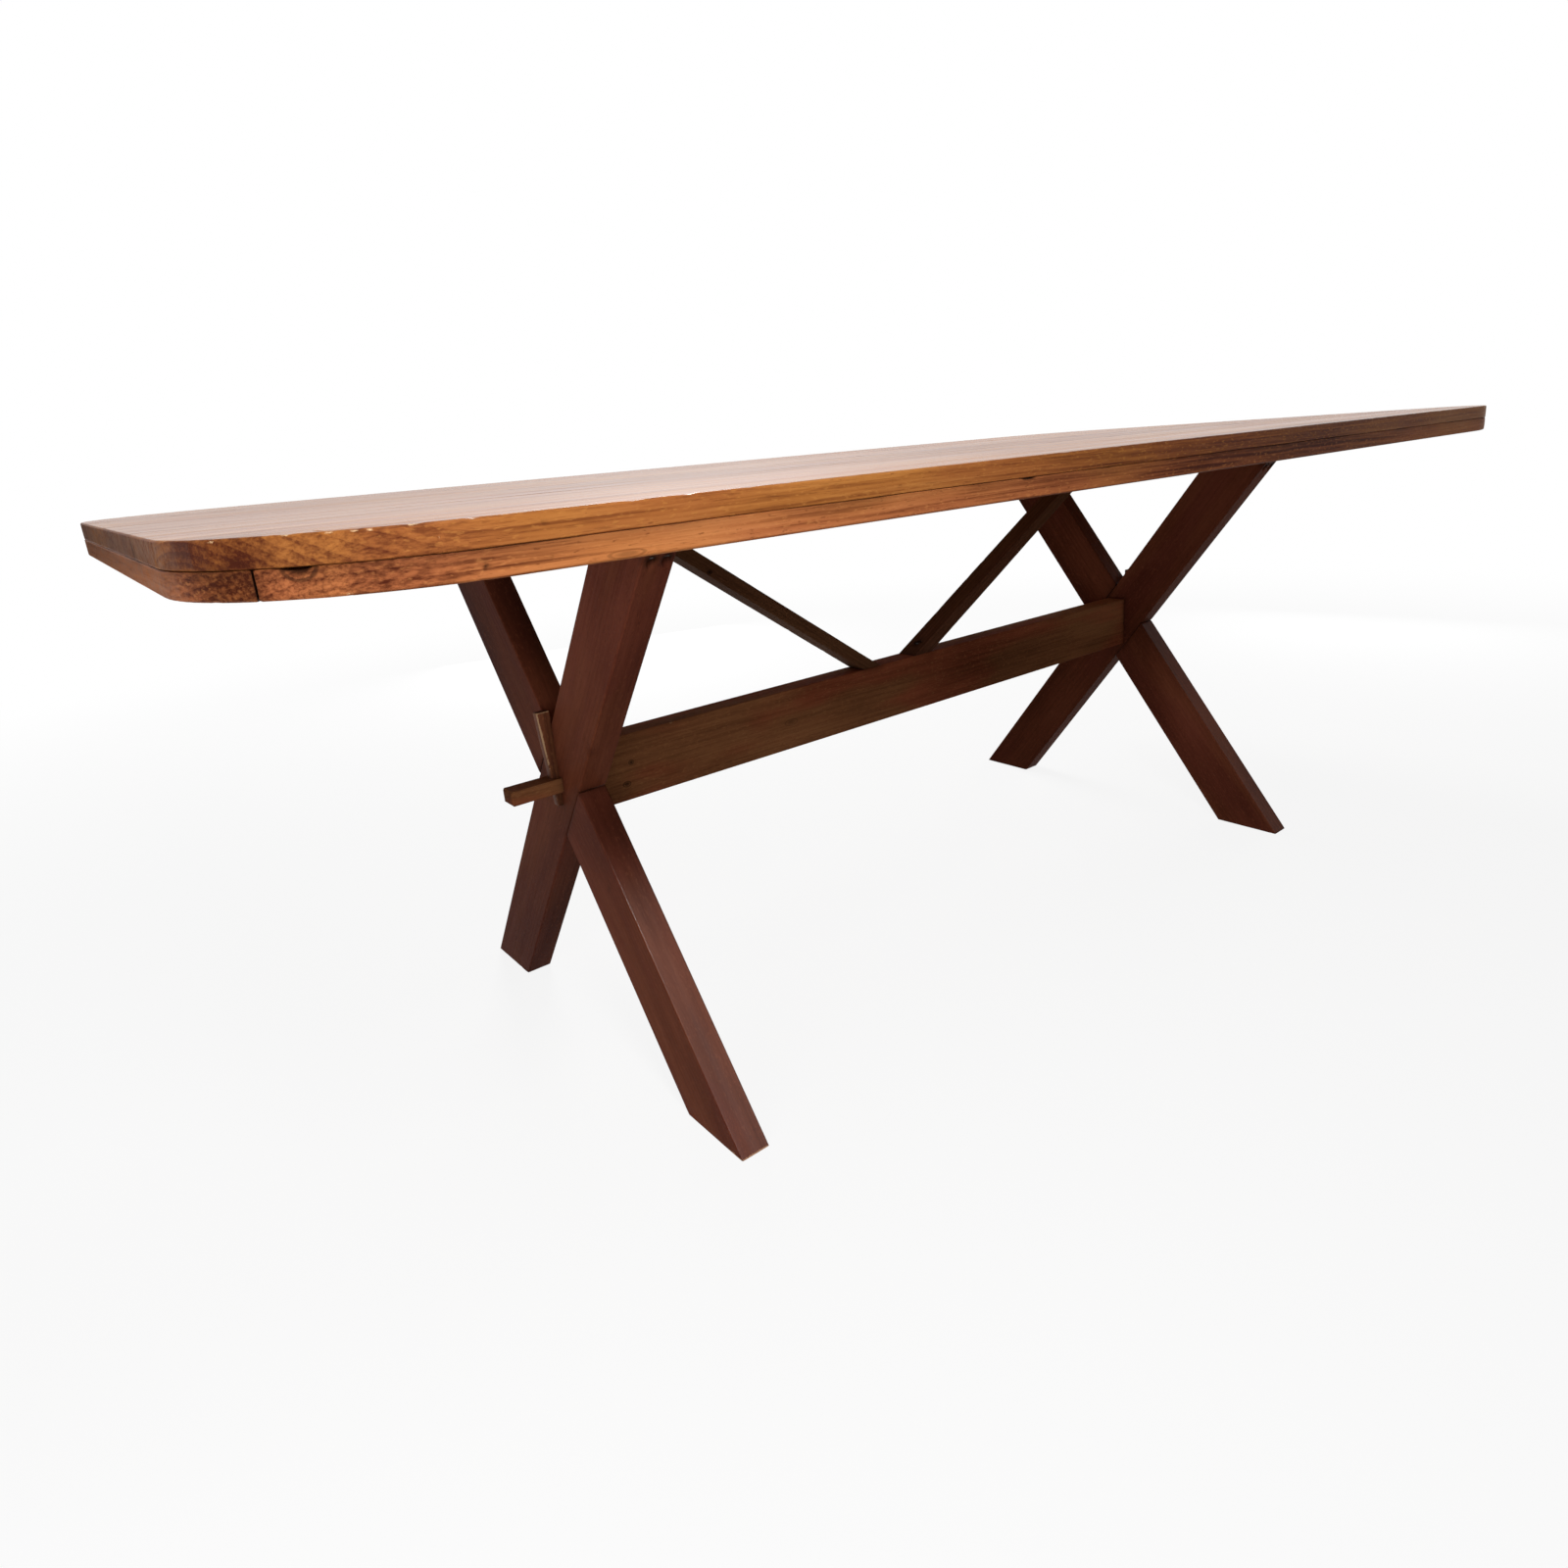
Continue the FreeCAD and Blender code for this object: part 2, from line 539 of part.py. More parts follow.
def make_fasteners():
    board_screw = make_screw("board_screw", "board_screw_length")
    leg_length = f"({UNDERSIDE} + {LEG_PILOT} - pilot_gap - {LEG_SEAT})"
    leg_screw = make_screw("leg_screw", leg_length)
    brace_screw = make_screw("brace_screw", "brace_screw_length")
    dowel = make_dowel()
    quarter_turn = FreeCAD.Rotation(FreeCAD.Vector(1, 0, 0), 90)
    half_turn = FreeCAD.Rotation(FreeCAD.Vector(1, 0, 0), 180)
    sides = (-1, 1)

    group("leg_screws", leg_screw,
          [(x, y, LEG_SEAT, False) for side in sides for x, y in leg_screw_places(side)])
    group("bearer_screws", board_screw,
          [(x, y, BOARD_SEAT, False) for side in sides for row in BEARER_ROWS
           for x, y in bearer_screw_places(side, row)])
    strip_places = [(f"({side} * {END_STRIP_X})", row) for side in sides for row in PLANK_MIDDLES]
    strip_places += [(x, f"({side} * {SIDE_STRIP_Y})") for side in sides for x in SIDE_SCREWS_X]
    group("strip_screws", board_screw, [(x, y, BOARD_SEAT, False) for x, y in strip_places])
    brace_places = [(x, "0", seat, False) for x, seat in map(brace_screw_top, sides)]
    brace_places += [(x, "0", seat, True) for x, seat in map(brace_screw_foot, sides)]
    group("brace_screws", brace_screw, brace_places, half_turn)
    dowel_level = f"({PLANK_BASE} + plank_thickness / 2)"
    group("plank_dowels", dowel,
          [(x, seam, dowel_level, True) for seam in SEAMS for x in DOWELS_X], quarter_turn)


for number in range(1, len(PLANK_EDGES)):
    make_plank(number)
make_strips()
for side, name in ((-1, "left"), (1, "right")):
    make_bearer(side, name)
    make_leg(f"leg_{name}_outer", side, -1, False)
    make_leg(f"leg_{name}_inner", side, 1, True)
    make_wedge(side, name)
    make_brace(side, name)
make_stretcher()
make_fasteners()
doc.recompute()

for item in doc.Objects:
    if "Invalid" in item.State or "Error" in item.State:
        raise RuntimeError(f"{item.Name} failed: {item.State}")
os.makedirs("parts", exist_ok=True)
for item in subparts:
    if item.Shape.isNull() or not item.Shape.isValid():
        raise RuntimeError(f"{item.Label} has no valid shape")
for item in subparts:
    item.Shape.exportStep(f"parts/{item.Label}.step")
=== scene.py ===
import math

import bmesh
import bpy
from mathutils import Matrix, Vector, bvhtree, kdtree, noise


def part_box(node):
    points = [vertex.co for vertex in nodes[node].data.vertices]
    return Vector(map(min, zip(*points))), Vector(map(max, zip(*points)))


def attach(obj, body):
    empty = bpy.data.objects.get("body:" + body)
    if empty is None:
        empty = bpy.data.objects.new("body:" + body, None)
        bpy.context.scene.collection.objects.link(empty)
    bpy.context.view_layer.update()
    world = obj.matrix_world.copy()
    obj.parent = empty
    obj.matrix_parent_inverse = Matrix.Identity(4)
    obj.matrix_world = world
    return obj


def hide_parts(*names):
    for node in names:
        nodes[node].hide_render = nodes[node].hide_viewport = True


# A worn trestle dining table: every board is a sliced copy of its solid, with knocked edges and solid grain.

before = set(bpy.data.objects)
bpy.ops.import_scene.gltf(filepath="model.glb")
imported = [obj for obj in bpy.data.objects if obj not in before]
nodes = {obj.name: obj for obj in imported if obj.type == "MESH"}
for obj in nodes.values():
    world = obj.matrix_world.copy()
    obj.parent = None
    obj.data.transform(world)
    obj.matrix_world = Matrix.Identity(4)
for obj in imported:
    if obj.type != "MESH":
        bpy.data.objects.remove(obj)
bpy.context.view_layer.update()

MM = 0.001
TOUCH = 1e-6
ALONG_X, ALONG_Y, ALONG_Z = Vector((1, 0, 0)), Vector((0, 1, 0)), Vector((0, 0, 1))

# The photograph's camera, in pixels of its square image and in metres and radians of the table's frame
IMAGE_SIZE = 1600
FOCAL_LENGTH = 994.3
OPTICAL_CENTRE = (830.0, 738.2)
CAMERA_PLACE = Vector((-1.0973, -1.1336, 0.7668))
CAMERA_YAW, CAMERA_PITCH, CAMERA_ROLL = 0.6664, -0.2834, -0.0779
SENSOR_WIDTH = 36.0
CLIP_START, CLIP_END = 0.05, 200


def make_camera():
    data = bpy.data.cameras.new("camera")
    data.sensor_width = SENSOR_WIDTH
    data.lens = FOCAL_LENGTH / IMAGE_SIZE * SENSOR_WIDTH
    data.shift_x = 0.5 - OPTICAL_CENTRE[0] / IMAGE_SIZE
    data.shift_y = OPTICAL_CENTRE[1] / IMAGE_SIZE - 0.5
    data.clip_start, data.clip_end = CLIP_START, CLIP_END
    ahead = Vector((math.sin(CAMERA_YAW) * math.cos(CAMERA_PITCH),
                    math.cos(CAMERA_YAW) * math.cos(CAMERA_PITCH), math.sin(CAMERA_PITCH)))
    level = Vector((math.cos(CAMERA_YAW), -math.sin(CAMERA_YAW), 0))
    upright = level.cross(ahead)
    right = math.cos(CAMERA_ROLL) * level + math.sin(CAMERA_ROLL) * upright
    up = math.cos(CAMERA_ROLL) * upright - math.sin(CAMERA_ROLL) * level
    camera = bpy.data.objects.new("camera", data)
    turn = Matrix((right, up, -ahead)).transposed().to_4x4()
    camera.matrix_world = Matrix.Translation(CAMERA_PLACE) @ turn
    bpy.context.scene.collection.objects.link(camera)
    bpy.context.scene.camera = camera


class Shader:
    """Short ways to add and join the nodes of one material or of the world."""

    def __init__(self, tree):
        self.tree = tree
        self.tree.nodes.clear()

    def add(self, kind, inputs=None, **settings):
        node = self.tree.nodes.new(f"ShaderNode{kind}")
        for name, setting in settings.items():
            setattr(node, name, setting)
        for key, value in (inputs or {}).items():
            self.set(node.inputs[key], value)
        return node

    def set(self, socket, value):
        if isinstance(value, bpy.types.NodeSocket):
            self.tree.links.new(value, socket)
        else:
            socket.default_value = value

    def attribute(self, name, output="Fac"):
        return self.add("Attribute", attribute_name=name).outputs[output]

    def math(self, operation, first, second=0.0, clamp=False):
        return self.add("Math", {0: first, 1: second}, operation=operation, use_clamp=clamp).outputs[0]

    def plus(self, total, value, share, clamp=False):
        """A total with a share of another value added to it."""
        return self.math("ADD", total, self.math("MULTIPLY", value, share), clamp)

    def vector(self, operation, first, second):
        return self.add("VectorMath", {0: first, 1: second}, operation=operation)

    def stretch(self, vector, scale):
        return self.add("Mapping", {"Vector": vector, "Scale": scale}).outputs[0]

    def noise(self, vector, scale=1.0, detail=2.0, roughness=0.5, output="Fac"):
        values = {"Vector": vector, "Scale": scale, "Detail": detail, "Roughness": roughness}
        return self.add("TexNoise", values).outputs[output]

    def range(self, value, low, high, to_low=0.0, to_high=1.0):
        values = {"Value": value, "From Min": low, "From Max": high, "To Min": to_low, "To Max": to_high}
        return self.add("MapRange", values, interpolation_type="SMOOTHSTEP").outputs[0]

    def mix(self, factor, first, second, blend="MIX"):
        values = {0: factor, 6: first, 7: second}
        return self.add("Mix", values, data_type="RGBA", blend_type=blend).outputs[2]

    def ramp(self, factor, stops):
        node = self.add("ValToRGB", {"Fac": factor})
        elements = node.color_ramp.elements
        while len(elements) < len(stops):
            elements.new(0.5)
        for element, (position, colour) in zip(elements, stops):
            element.position = position
            element.color = (*colour, 1)
        return node.outputs[0]


def new_shader(name):
    material = bpy.data.materials.new(name)
    material.use_nodes = True
    return material, Shader(material.node_tree)


# Wood finishes: colours are linear, lengths are in metres

# Weathered wood keeps a share of its own colour and gains some grey
WEATHERED_SHARE, WEATHERED_GREY = 0.5, 0.15


class Wood:
    """Colours and grain of one kind of finish."""

    def __init__(self, light, middle, dark, worn, grime, roughness=0.52, specular=0.08, coat=0.0, ring=0.007,
                 figure=0.12, fibre=0.35, blotch=0.45, tint=(0.9, 0.82, 0.95), knots=()):
        self.light, self.middle, self.dark = light, middle, dark
        self.worn, self.grime, self.tint = worn, grime, tint
        self.weathered = [WEATHERED_SHARE * part + WEATHERED_GREY for part in middle]
        self.soaked_and_shaded = [low / part for low, part in zip(dark, middle)]
        self.roughness, self.specular, self.coat = roughness, specular, coat
        self.ring, self.figure, self.fibre, self.blotch = ring, figure, fibre, blotch
        self.knots = knots


# Each knot: its middle, its radius along each axis, and how dark its rings are
STRIP_KNOTS = (((-0.966, -0.478, 0.7165), (0.024, 0.024, 0.0185), 0.7),
               ((-0.767, -0.520, 0.700), (0.030, 0.02, 0.006), 0.35))
BRACE_KNOTS = (((-0.378, -0.019, 0.605), (0.009, 0.012, 0.006), 0.95),)
STRETCHER_KNOTS = (((-0.531, -0.019, 0.376), (0.008, 0.012, 0.007), 0.8),
                   ((-0.541, -0.019, 0.348), (0.012, 0.012, 0.008), 0.7),
                   ((-0.262, -0.019, 0.366), (0.025, 0.012, 0.010), 0.3))

FINISHES = {
    "top_wood": Wood(light=(0.6, 0.245, 0.06), middle=(0.45, 0.162, 0.037), dark=(0.14, 0.033, 0.010),
                     worn=(0.74, 0.47, 0.25), grime=(0.03, 0.011, 0.005), roughness=0.46, specular=0.04,
                     coat=0.8, figure=0.16, fibre=0.4, blotch=0.3),
    "strip_wood": Wood(light=(0.66, 0.255, 0.082), middle=(0.54, 0.187, 0.057), dark=(0.11, 0.024, 0.008),
                       worn=(0.68, 0.4, 0.2), grime=(0.022, 0.008, 0.004), roughness=0.48, specular=0.03,
                       fibre=0.4, blotch=0.3, knots=STRIP_KNOTS),
    "leg_wood": Wood(light=(0.24, 0.073, 0.036), middle=(0.165, 0.046, 0.022), dark=(0.085, 0.022, 0.011),
                     worn=(0.5, 0.27, 0.16), grime=(0.010, 0.004, 0.002), specular=0.015, coat=0.9,
                     figure=0.05, fibre=0.16, blotch=0.6),
    "stretcher_wood": Wood(light=(0.4, 0.172, 0.07), middle=(0.28, 0.113, 0.045), dark=(0.12, 0.04, 0.015),
                           worn=(0.4, 0.22, 0.11), grime=(0.010, 0.004, 0.002), roughness=0.7, specular=0.03,
                           figure=0.08, fibre=0.25, blotch=0.6, tint=(1.05, 0.72, 0.8),
                           knots=STRETCHER_KNOTS),
    "brace_wood": Wood(light=(0.17, 0.073, 0.033), middle=(0.115, 0.048, 0.021), dark=(0.05, 0.018, 0.007),
                       worn=(0.2, 0.1, 0.05), grime=(0.006, 0.002, 0.001), roughness=0.7, specular=0.03,
                       knots=BRACE_KNOTS),
    "wedge_wood": Wood(light=(0.32, 0.13, 0.052), middle=(0.2, 0.072, 0.028), dark=(0.08, 0.025, 0.010),
                       worn=(0.55, 0.34, 0.19), grime=(0.010, 0.004, 0.002)),
    "bearer_wood": Wood(light=(0.3, 0.14, 0.065), middle=(0.21, 0.088, 0.038), dark=(0.1, 0.036, 0.015),
                        worn=(0.42, 0.25, 0.14), grime=(0.02, 0.008, 0.004), roughness=0.7, figure=0.45),
}

# How closely each pattern repeats along, across and through a board, per metre
FIBRE_STRETCH = (7, 380, 380)
FLECK_STRETCH = (110, 480, 480)
PORE_STRETCH = (60, 1300, 1300)
RAY_STRETCH = (150, 420, 420)
BLOTCH_STRETCH = (2.6, 11, 11)
PATCH_STRETCH = (4, 16, 16)
STREAK_STRETCH = (1.6, 45, 45)
DRIFT_STRETCH = (1.1, 7, 7)
MOTTLE_SCALE, BARE_SCALE = 150, 700

# How far the rings wander in metres, and how strongly each pattern tells
DRIFT = 0.022
WAVE_FACTOR = 20
KNOT_RINGS, KNOT_WOBBLE = 15, 2
STAIN_LIGHT_AND_SHADE_TONE, STAIN_LIGHT_AND_SHADE_SOAK = 0.35, 0.75
FLECK_SHARE, PORE_SHARE, BARE_SHARE = 0.5, 0.4, 0.8
RAYS_ON_SIDES, RAYS_ON_ENDS = 0.4, 0.05
LEAST_BLEACHED, MOST_BLEACHED = 0.1, 0.7
FIBRE_ROUGHNESS, WEATHERED_ROUGHNESS, RUBBED_ROUGHNESS = 0.2, 0.35, 0.2
FIBRE_RELIEF, PORE_RELIEF, RING_RELIEF = 0.5, 0.7, 0.3
GRAIN_STRENGTH, GRAIN_DEPTH = 0.35, 0.3 * MM
COAT_ROUGHNESS = 0.22


def knot_mask(shader, place, middle, radii):
    """0 outside a knot to 1 at its middle, with its distance for its rings."""
    moved = shader.vector("SUBTRACT", place, middle).outputs[0]
    scaled = shader.vector("DIVIDE", moved, radii).outputs[0]
    distance = shader.add("VectorMath", {0: scaled}, operation="LENGTH").outputs["Value"]
    return shader.range(distance, 1.0, 0.35), distance


def add_knots(shader, finish, colour, fibres):
    """Dark curling rings about each knot of a finish."""
    place = shader.add("TexCoord").outputs["Object"]
    for middle, radii, strength in finish.knots:
        mask, distance = knot_mask(shader, place, middle, radii)
        wobble = shader.plus(shader.math("MULTIPLY", distance, KNOT_RINGS), fibres, KNOT_WOBBLE)
        curl = shader.range(shader.math("SINE", wobble), 0.2, 0.95)
        core = shader.range(distance, 0.45, 0.15)
        dark = shader.math("MULTIPLY", shader.math("MAXIMUM", curl, core), mask)
        colour = shader.mix(shader.math("MULTIPLY", dark, strength), colour, (*finish.grime, 1))
    return colour


class Grain:
    """The patterns of one wood: rings about a wandering pith, with fibres, blotches, flecks and pores."""

    def __init__(self, shader, finish):
        self.place = shader.attribute("grain", "Vector")
        drift = shader.noise(shader.stretch(self.place, DRIFT_STRETCH), detail=3, output="Color")
        centred = shader.vector("SUBTRACT", drift, (0.5, 0.5, 0.5)).outputs[0]
        shift = shader.vector("MULTIPLY", centred, (0, DRIFT, DRIFT)).outputs[0]
        self.bent = shader.vector("ADD", self.place, shift).outputs[0]
        waves = {"Vector": self.bent, "Scale": 2 * math.pi / (WAVE_FACTOR * finish.ring), "Distortion": 1.2,
                 "Detail": 2.0, "Detail Scale": 0.6}
        wave = shader.add("TexWave", waves, wave_type="RINGS", rings_direction="X", wave_profile="SAW")
        saw = wave.outputs["Fac"]
        self.rings = shader.math("SUBTRACT", shader.range(saw, 0.25, 0.86), shader.range(saw, 0.9, 1.0))
        self.fibres = shader.noise(shader.stretch(self.bent, FIBRE_STRETCH), detail=4, roughness=0.65)
        self.blotches = shader.noise(shader.stretch(self.place, BLOTCH_STRETCH), detail=4, roughness=0.6)
        self.flecks = shader.range(shader.noise(shader.stretch(self.place, FLECK_STRETCH)), 0.64, 0.74)
        self.pits = shader.range(shader.noise(shader.stretch(self.place, PORE_STRETCH)), 0.6, 0.7)


def clean_colour(shader, finish, grain):
    """The colour of the wood with its stains, painted shade, painted light and knots, before wear, dirt and
    the painted shade of joints and screws.
    """
    stain = shader.attribute("stain")
    tone = shader.math("MULTIPLY", grain.rings, finish.figure)
    tone = shader.plus(tone, shader.range(grain.fibres, 0.25, 0.75), finish.fibre)
    tone = shader.plus(tone, shader.range(grain.blotches, 0.2, 0.8), finish.blotch)
    tone = shader.math("DIVIDE", tone, finish.figure + finish.fibre + finish.blotch)
    # Stains, painted shade and painted light shift the tone here: higher values darker, lower values paler
    tone = shader.plus(tone, stain, STAIN_LIGHT_AND_SHADE_TONE, clamp=True)
    colour = shader.ramp(tone, ((0.08, finish.light), (0.5, finish.middle), (0.95, finish.dark)))
    soaked_and_shaded = shader.math("MULTIPLY", stain, STAIN_LIGHT_AND_SHADE_SOAK, clamp=True)
    colour = shader.mix(soaked_and_shaded, colour, (*finish.soaked_and_shaded, 1), blend="MULTIPLY")
    patches = shader.range(shader.noise(shader.stretch(grain.place, PATCH_STRETCH), detail=2), 0.42, 0.62)
    colour = shader.mix(patches, colour, (*finish.tint, 1), blend="MULTIPLY")
    rays = shader.range(shader.noise(shader.stretch(grain.bent, RAY_STRETCH)), 0.56, 0.7)
    shown = shader.range(shader.attribute("end_grain"), 0.0, 0.9, RAYS_ON_SIDES, RAYS_ON_ENDS)
    colour = shader.mix(shader.math("MULTIPLY", rays, shown), colour, (*finish.light, 1))
    flecks = shader.math("MULTIPLY", grain.flecks, FLECK_SHARE)
    pores = shader.math("MULTIPLY", grain.pits, PORE_SHARE)
    colour = shader.mix(shader.math("MAXIMUM", flecks, pores), colour, (*finish.dark, 1))
    return add_knots(shader, finish, colour, grain.fibres)


def grain_bump(shader, grain):
    """Raised fibres between sunken pores and rings."""
    fibres = shader.math("MULTIPLY", grain.fibres, FIBRE_RELIEF)
    height = shader.math("SUBTRACT", fibres, shader.math("MULTIPLY", grain.pits, PORE_RELIEF))
    height = shader.math("SUBTRACT", height, shader.math("MULTIPLY", grain.rings, RING_RELIEF))
    values = {"Height": height, "Strength": GRAIN_STRENGTH, "Distance": GRAIN_DEPTH}
    return shader.add("Bump", values).outputs[0]


def wood_material(slot, finish):
    """Solid wood in board coordinates, bleached, rubbed, dirty and painted with shade and light where the
    board's own attributes say.
    """
    material, shader = new_shader(slot)
    grain = Grain(shader, finish)
    weathered = shader.attribute("weathered")
    mottle = shader.noise(grain.place, MOTTLE_SCALE, detail=5, roughness=0.7)
    mottle = shader.range(mottle, 0.3, 0.7, LEAST_BLEACHED, MOST_BLEACHED)
    bare = shader.noise(grain.place, BARE_SCALE, detail=3, roughness=0.7)
    rubbed = shader.range(shader.plus(shader.attribute("wear"), bare, BARE_SHARE), 0.82, 1.06)
    colour = clean_colour(shader, finish, grain)
    colour = shader.mix(shader.math("MULTIPLY", weathered, mottle), colour, (*finish.weathered, 1))
    colour = shader.mix(rubbed, colour, (*finish.worn, 1))
    # Darker towards the grime colour: dirt, and painted shade in recesses, about the screws and spreading
    # from joints
    colour = shader.mix(shader.attribute("grime"), colour, (*finish.grime, 1))

    rough = shader.math("MULTIPLY", grain.fibres, FIBRE_ROUGHNESS)
    rough = shader.math("ADD", rough, finish.roughness - FIBRE_ROUGHNESS / 2)
    rough = shader.plus(rough, weathered, WEATHERED_ROUGHNESS)
    rough = shader.plus(rough, rubbed, RUBBED_ROUGHNESS, clamp=True)
    values = {"Base Color": colour, "Roughness": rough, "Normal": grain_bump(shader, grain),
              "Specular IOR Level": finish.specular}
    if finish.coat:
        streaks = shader.noise(shader.stretch(grain.place, STREAK_STRETCH), detail=3)
        kept = shader.range(streaks, 0.3, 0.7, 0.5 * finish.coat, finish.coat)
        values["Coat Weight"] = shader.math("MULTIPLY", shader.attribute("polish"), kept)
        values["Coat Roughness"] = COAT_ROUGHNESS
    surface = shader.add("BsdfPrincipled", values)
    shader.add("OutputMaterial", {"Surface": surface.outputs[0]})
    return material


STEEL_STRETCH, RUST_SCALE = (300, 300, 2500), 260
# Steel colours painted dark, for the shade in the counterbores that hold the screws
SHADED_DULL_STEEL, SHADED_BRIGHT_STEEL, RUST = (0.05, 0.047, 0.044), (0.11, 0.104, 0.098), (0.03, 0.012, 0.006)
STEEL_ROUGHNESS, RUST_ROUGHNESS = 0.45, 0.35


def steel_material():
    """Screw steel with brushed streaks and brown rust, painted dark for the shade in the counterbores."""
    material, shader = new_shader("screw_steel")
    place = shader.add("TexCoord").outputs["Object"]
    streaks = shader.noise(shader.stretch(place, STEEL_STRETCH), detail=3)
    rust = shader.range(shader.noise(place, RUST_SCALE, detail=4, roughness=0.7), 0.42, 0.62)
    steel = shader.ramp(streaks, ((0.3, SHADED_DULL_STEEL), (0.7, SHADED_BRIGHT_STEEL)))
    colour = shader.mix(rust, steel, (*RUST, 1))
    metal = shader.math("SUBTRACT", 1.0, rust)
    rough = shader.math("ADD", shader.math("MULTIPLY", rust, RUST_ROUGHNESS), STEEL_ROUGHNESS)
    bump = shader.add("Bump", {"Height": streaks, "Strength": 0.2, "Distance": 0.1 * MM}).outputs[0]
    surface = shader.add("BsdfPrincipled", {"Base Color": colour, "Metallic": metal, "Roughness": rough,
                                            "Normal": bump})
    shader.add("OutputMaterial", {"Surface": surface.outputs[0]})
    return material


DOWEL_FIBRE_STRETCH, DOWEL_FLECK_STRETCH = (500, 9, 500), (900, 90, 900)
DARK_DOWEL, PALE_DOWEL, DOWEL_FLECK = (0.4, 0.25, 0.13), (0.56, 0.39, 0.22), (0.3, 0.16, 0.08)


def dowel_material():
    """Pale dowels with grain along their length."""
    material, shader = new_shader("dowel_wood")
    place = shader.add("TexCoord").outputs["Object"]
    fibres = shader.noise(shader.stretch(place, DOWEL_FIBRE_STRETCH), detail=4)
    flecks = shader.range(shader.noise(shader.stretch(place, DOWEL_FLECK_STRETCH)), 0.6, 0.7)
    colour = shader.ramp(fibres, ((0.3, DARK_DOWEL), (0.7, PALE_DOWEL)))
    colour = shader.mix(shader.math("MULTIPLY", flecks, FLECK_SHARE), colour, (*DOWEL_FLECK, 1))
    bump = shader.add("Bump", {"Height": fibres, "Strength": 0.3, "Distance": 0.2 * MM}).outputs[0]
    surface = shader.add("BsdfPrincipled", {"Base Color": colour, "Roughness": 0.7, "Normal": bump})
    shader.add("OutputMaterial", {"Surface": surface.outputs[0]})
    return material


# Slicing a board finely enough to take wear

EDGE_GAPS = (2.6 * MM, 3.6 * MM, 5.4 * MM, 9 * MM)
SHARP_ANGLE = math.radians(9)
SMOOTH_ANGLE = math.radians(32)
FLAT_ANGLE = math.radians(0.5)


def extent(points, direction):
    reach = [point.dot(direction) for point in points]
    return min(reach), max(reach)


def box_middle(points):
    spans = [extent(points, axis) for axis in (ALONG_X, ALONG_Y, ALONG_Z)]
    return Vector([(low + high) / 2 for low, high in spans])


def leaning(node):
    """The direction of a leg or brace, from the middle of its lowest end to the middle of its highest."""
    points = [vertex.co for vertex in nodes[node].data.vertices]
    low, high = extent(points, ALONG_Z)
    foot = box_middle([point for point in points if point.z < low + TOUCH])
    top = box_middle([point for point in points if point.z > high - TOUCH])
    return (top - foot).normalized()


def spread(low, high, step):
    count = max(1, round((high - low) / step))
    return [low + (high - low) * index / count for index in range(1, count)]


def edge_rows(low, high, step):
    """Slices close to both edges of a board, then evenly between them."""
    near = [gap for gap in EDGE_GAPS if gap < (high - low) / 2 - 0.5 * MM]
    if not near:
        return []
    inner = spread(low + near[-1], high - near[-1], step)
    return [low + gap for gap in near] + inner + [high - gap for gap in near]


def slice_across(bm, direction, places):
    """Cut a mesh square to a direction at each place, halving the list so that each cut meets few faces."""
    def cut(faces, spots):
        if not spots or not faces:
            return
        half = len(spots) // 2
        edges = {edge for face in faces for edge in face.edges}
        corners = {corner for face in faces for corner in face.verts}
        done = bmesh.ops.bisect_plane(bm, geom=[*corners, *edges, *faces], dist=TOUCH,
                                      plane_co=direction * spots[half], plane_no=direction)
        below, above = [], []
        for item in done["geom"]:
            if isinstance(item, bmesh.types.BMFace):
                side = item.calc_center_median().dot(direction) - spots[half]
                (above if side > 0 else below).append(item)
        cut(below, spots[:half])
        cut(above, spots[half + 1:])

    cut(list(bm.faces), sorted(places))


class Mark:
    """A place on a board that differs: darker or paler, bare, dirty, dented or rubbed along its edges. Some
    of the darker and paler places are painted shade and painted light.
    """

    def __init__(self, place, radii, stain=0.0, wear=0.0, grime=0.0, dent=0.0, edge=0.0):
        self.place, self.radii = Vector(place), radii
        self.stain, self.wear, self.grime, self.dent, self.edge = stain, wear, grime, dent, edge

    def weight(self, point):
        away = point - self.place
        reach = sum((gap / radius) ** 2 for gap, radius in zip(away, self.radii))
        return (1 - reach) ** 2 if reach < 1 else 0.0


PITH_STEP = 0.37


class Board:
    """Which way a board runs, how finely it is sliced, how worn, stained and dirty it is, and where shade and
    light are painted on it.
    """

    def __init__(self, node, slot, along, depth, body="table", step=8 * MM, rows=16 * MM, rub=0.25 * MM,
                 chip=0.8 * MM, wear=0.5, wear_width=5 * MM, hollow=0.15 * MM, dirt_and_shade=0.55, pith=(0.05, 0.06),
                 seed=1, shine_from=0.8, weathered=None, screws=None, cloud=0.3, tone=0.0, fine=(), joints=(),
                 marks=()):
        self.node, self.slot, self.body = node, slot, body
        self.along, self.depth = along.normalized(), depth.normalized()
        self.across = self.depth.cross(self.along).normalized()
        self.step, self.rows, self.fine, self.joints = step, rows, fine, joints
        self.rub, self.chip, self.hollow = rub, chip, hollow
        self.wear, self.wear_width, self.dirt_and_shade = wear, wear_width, dirt_and_shade
        self.shine_from, self.weathered, self.screws = shine_from, weathered, screws
        self.cloud, self.tone, self.marks, self.seed = cloud, tone, marks, seed
        self.pith = Vector((PITH_STEP * seed, *pith))


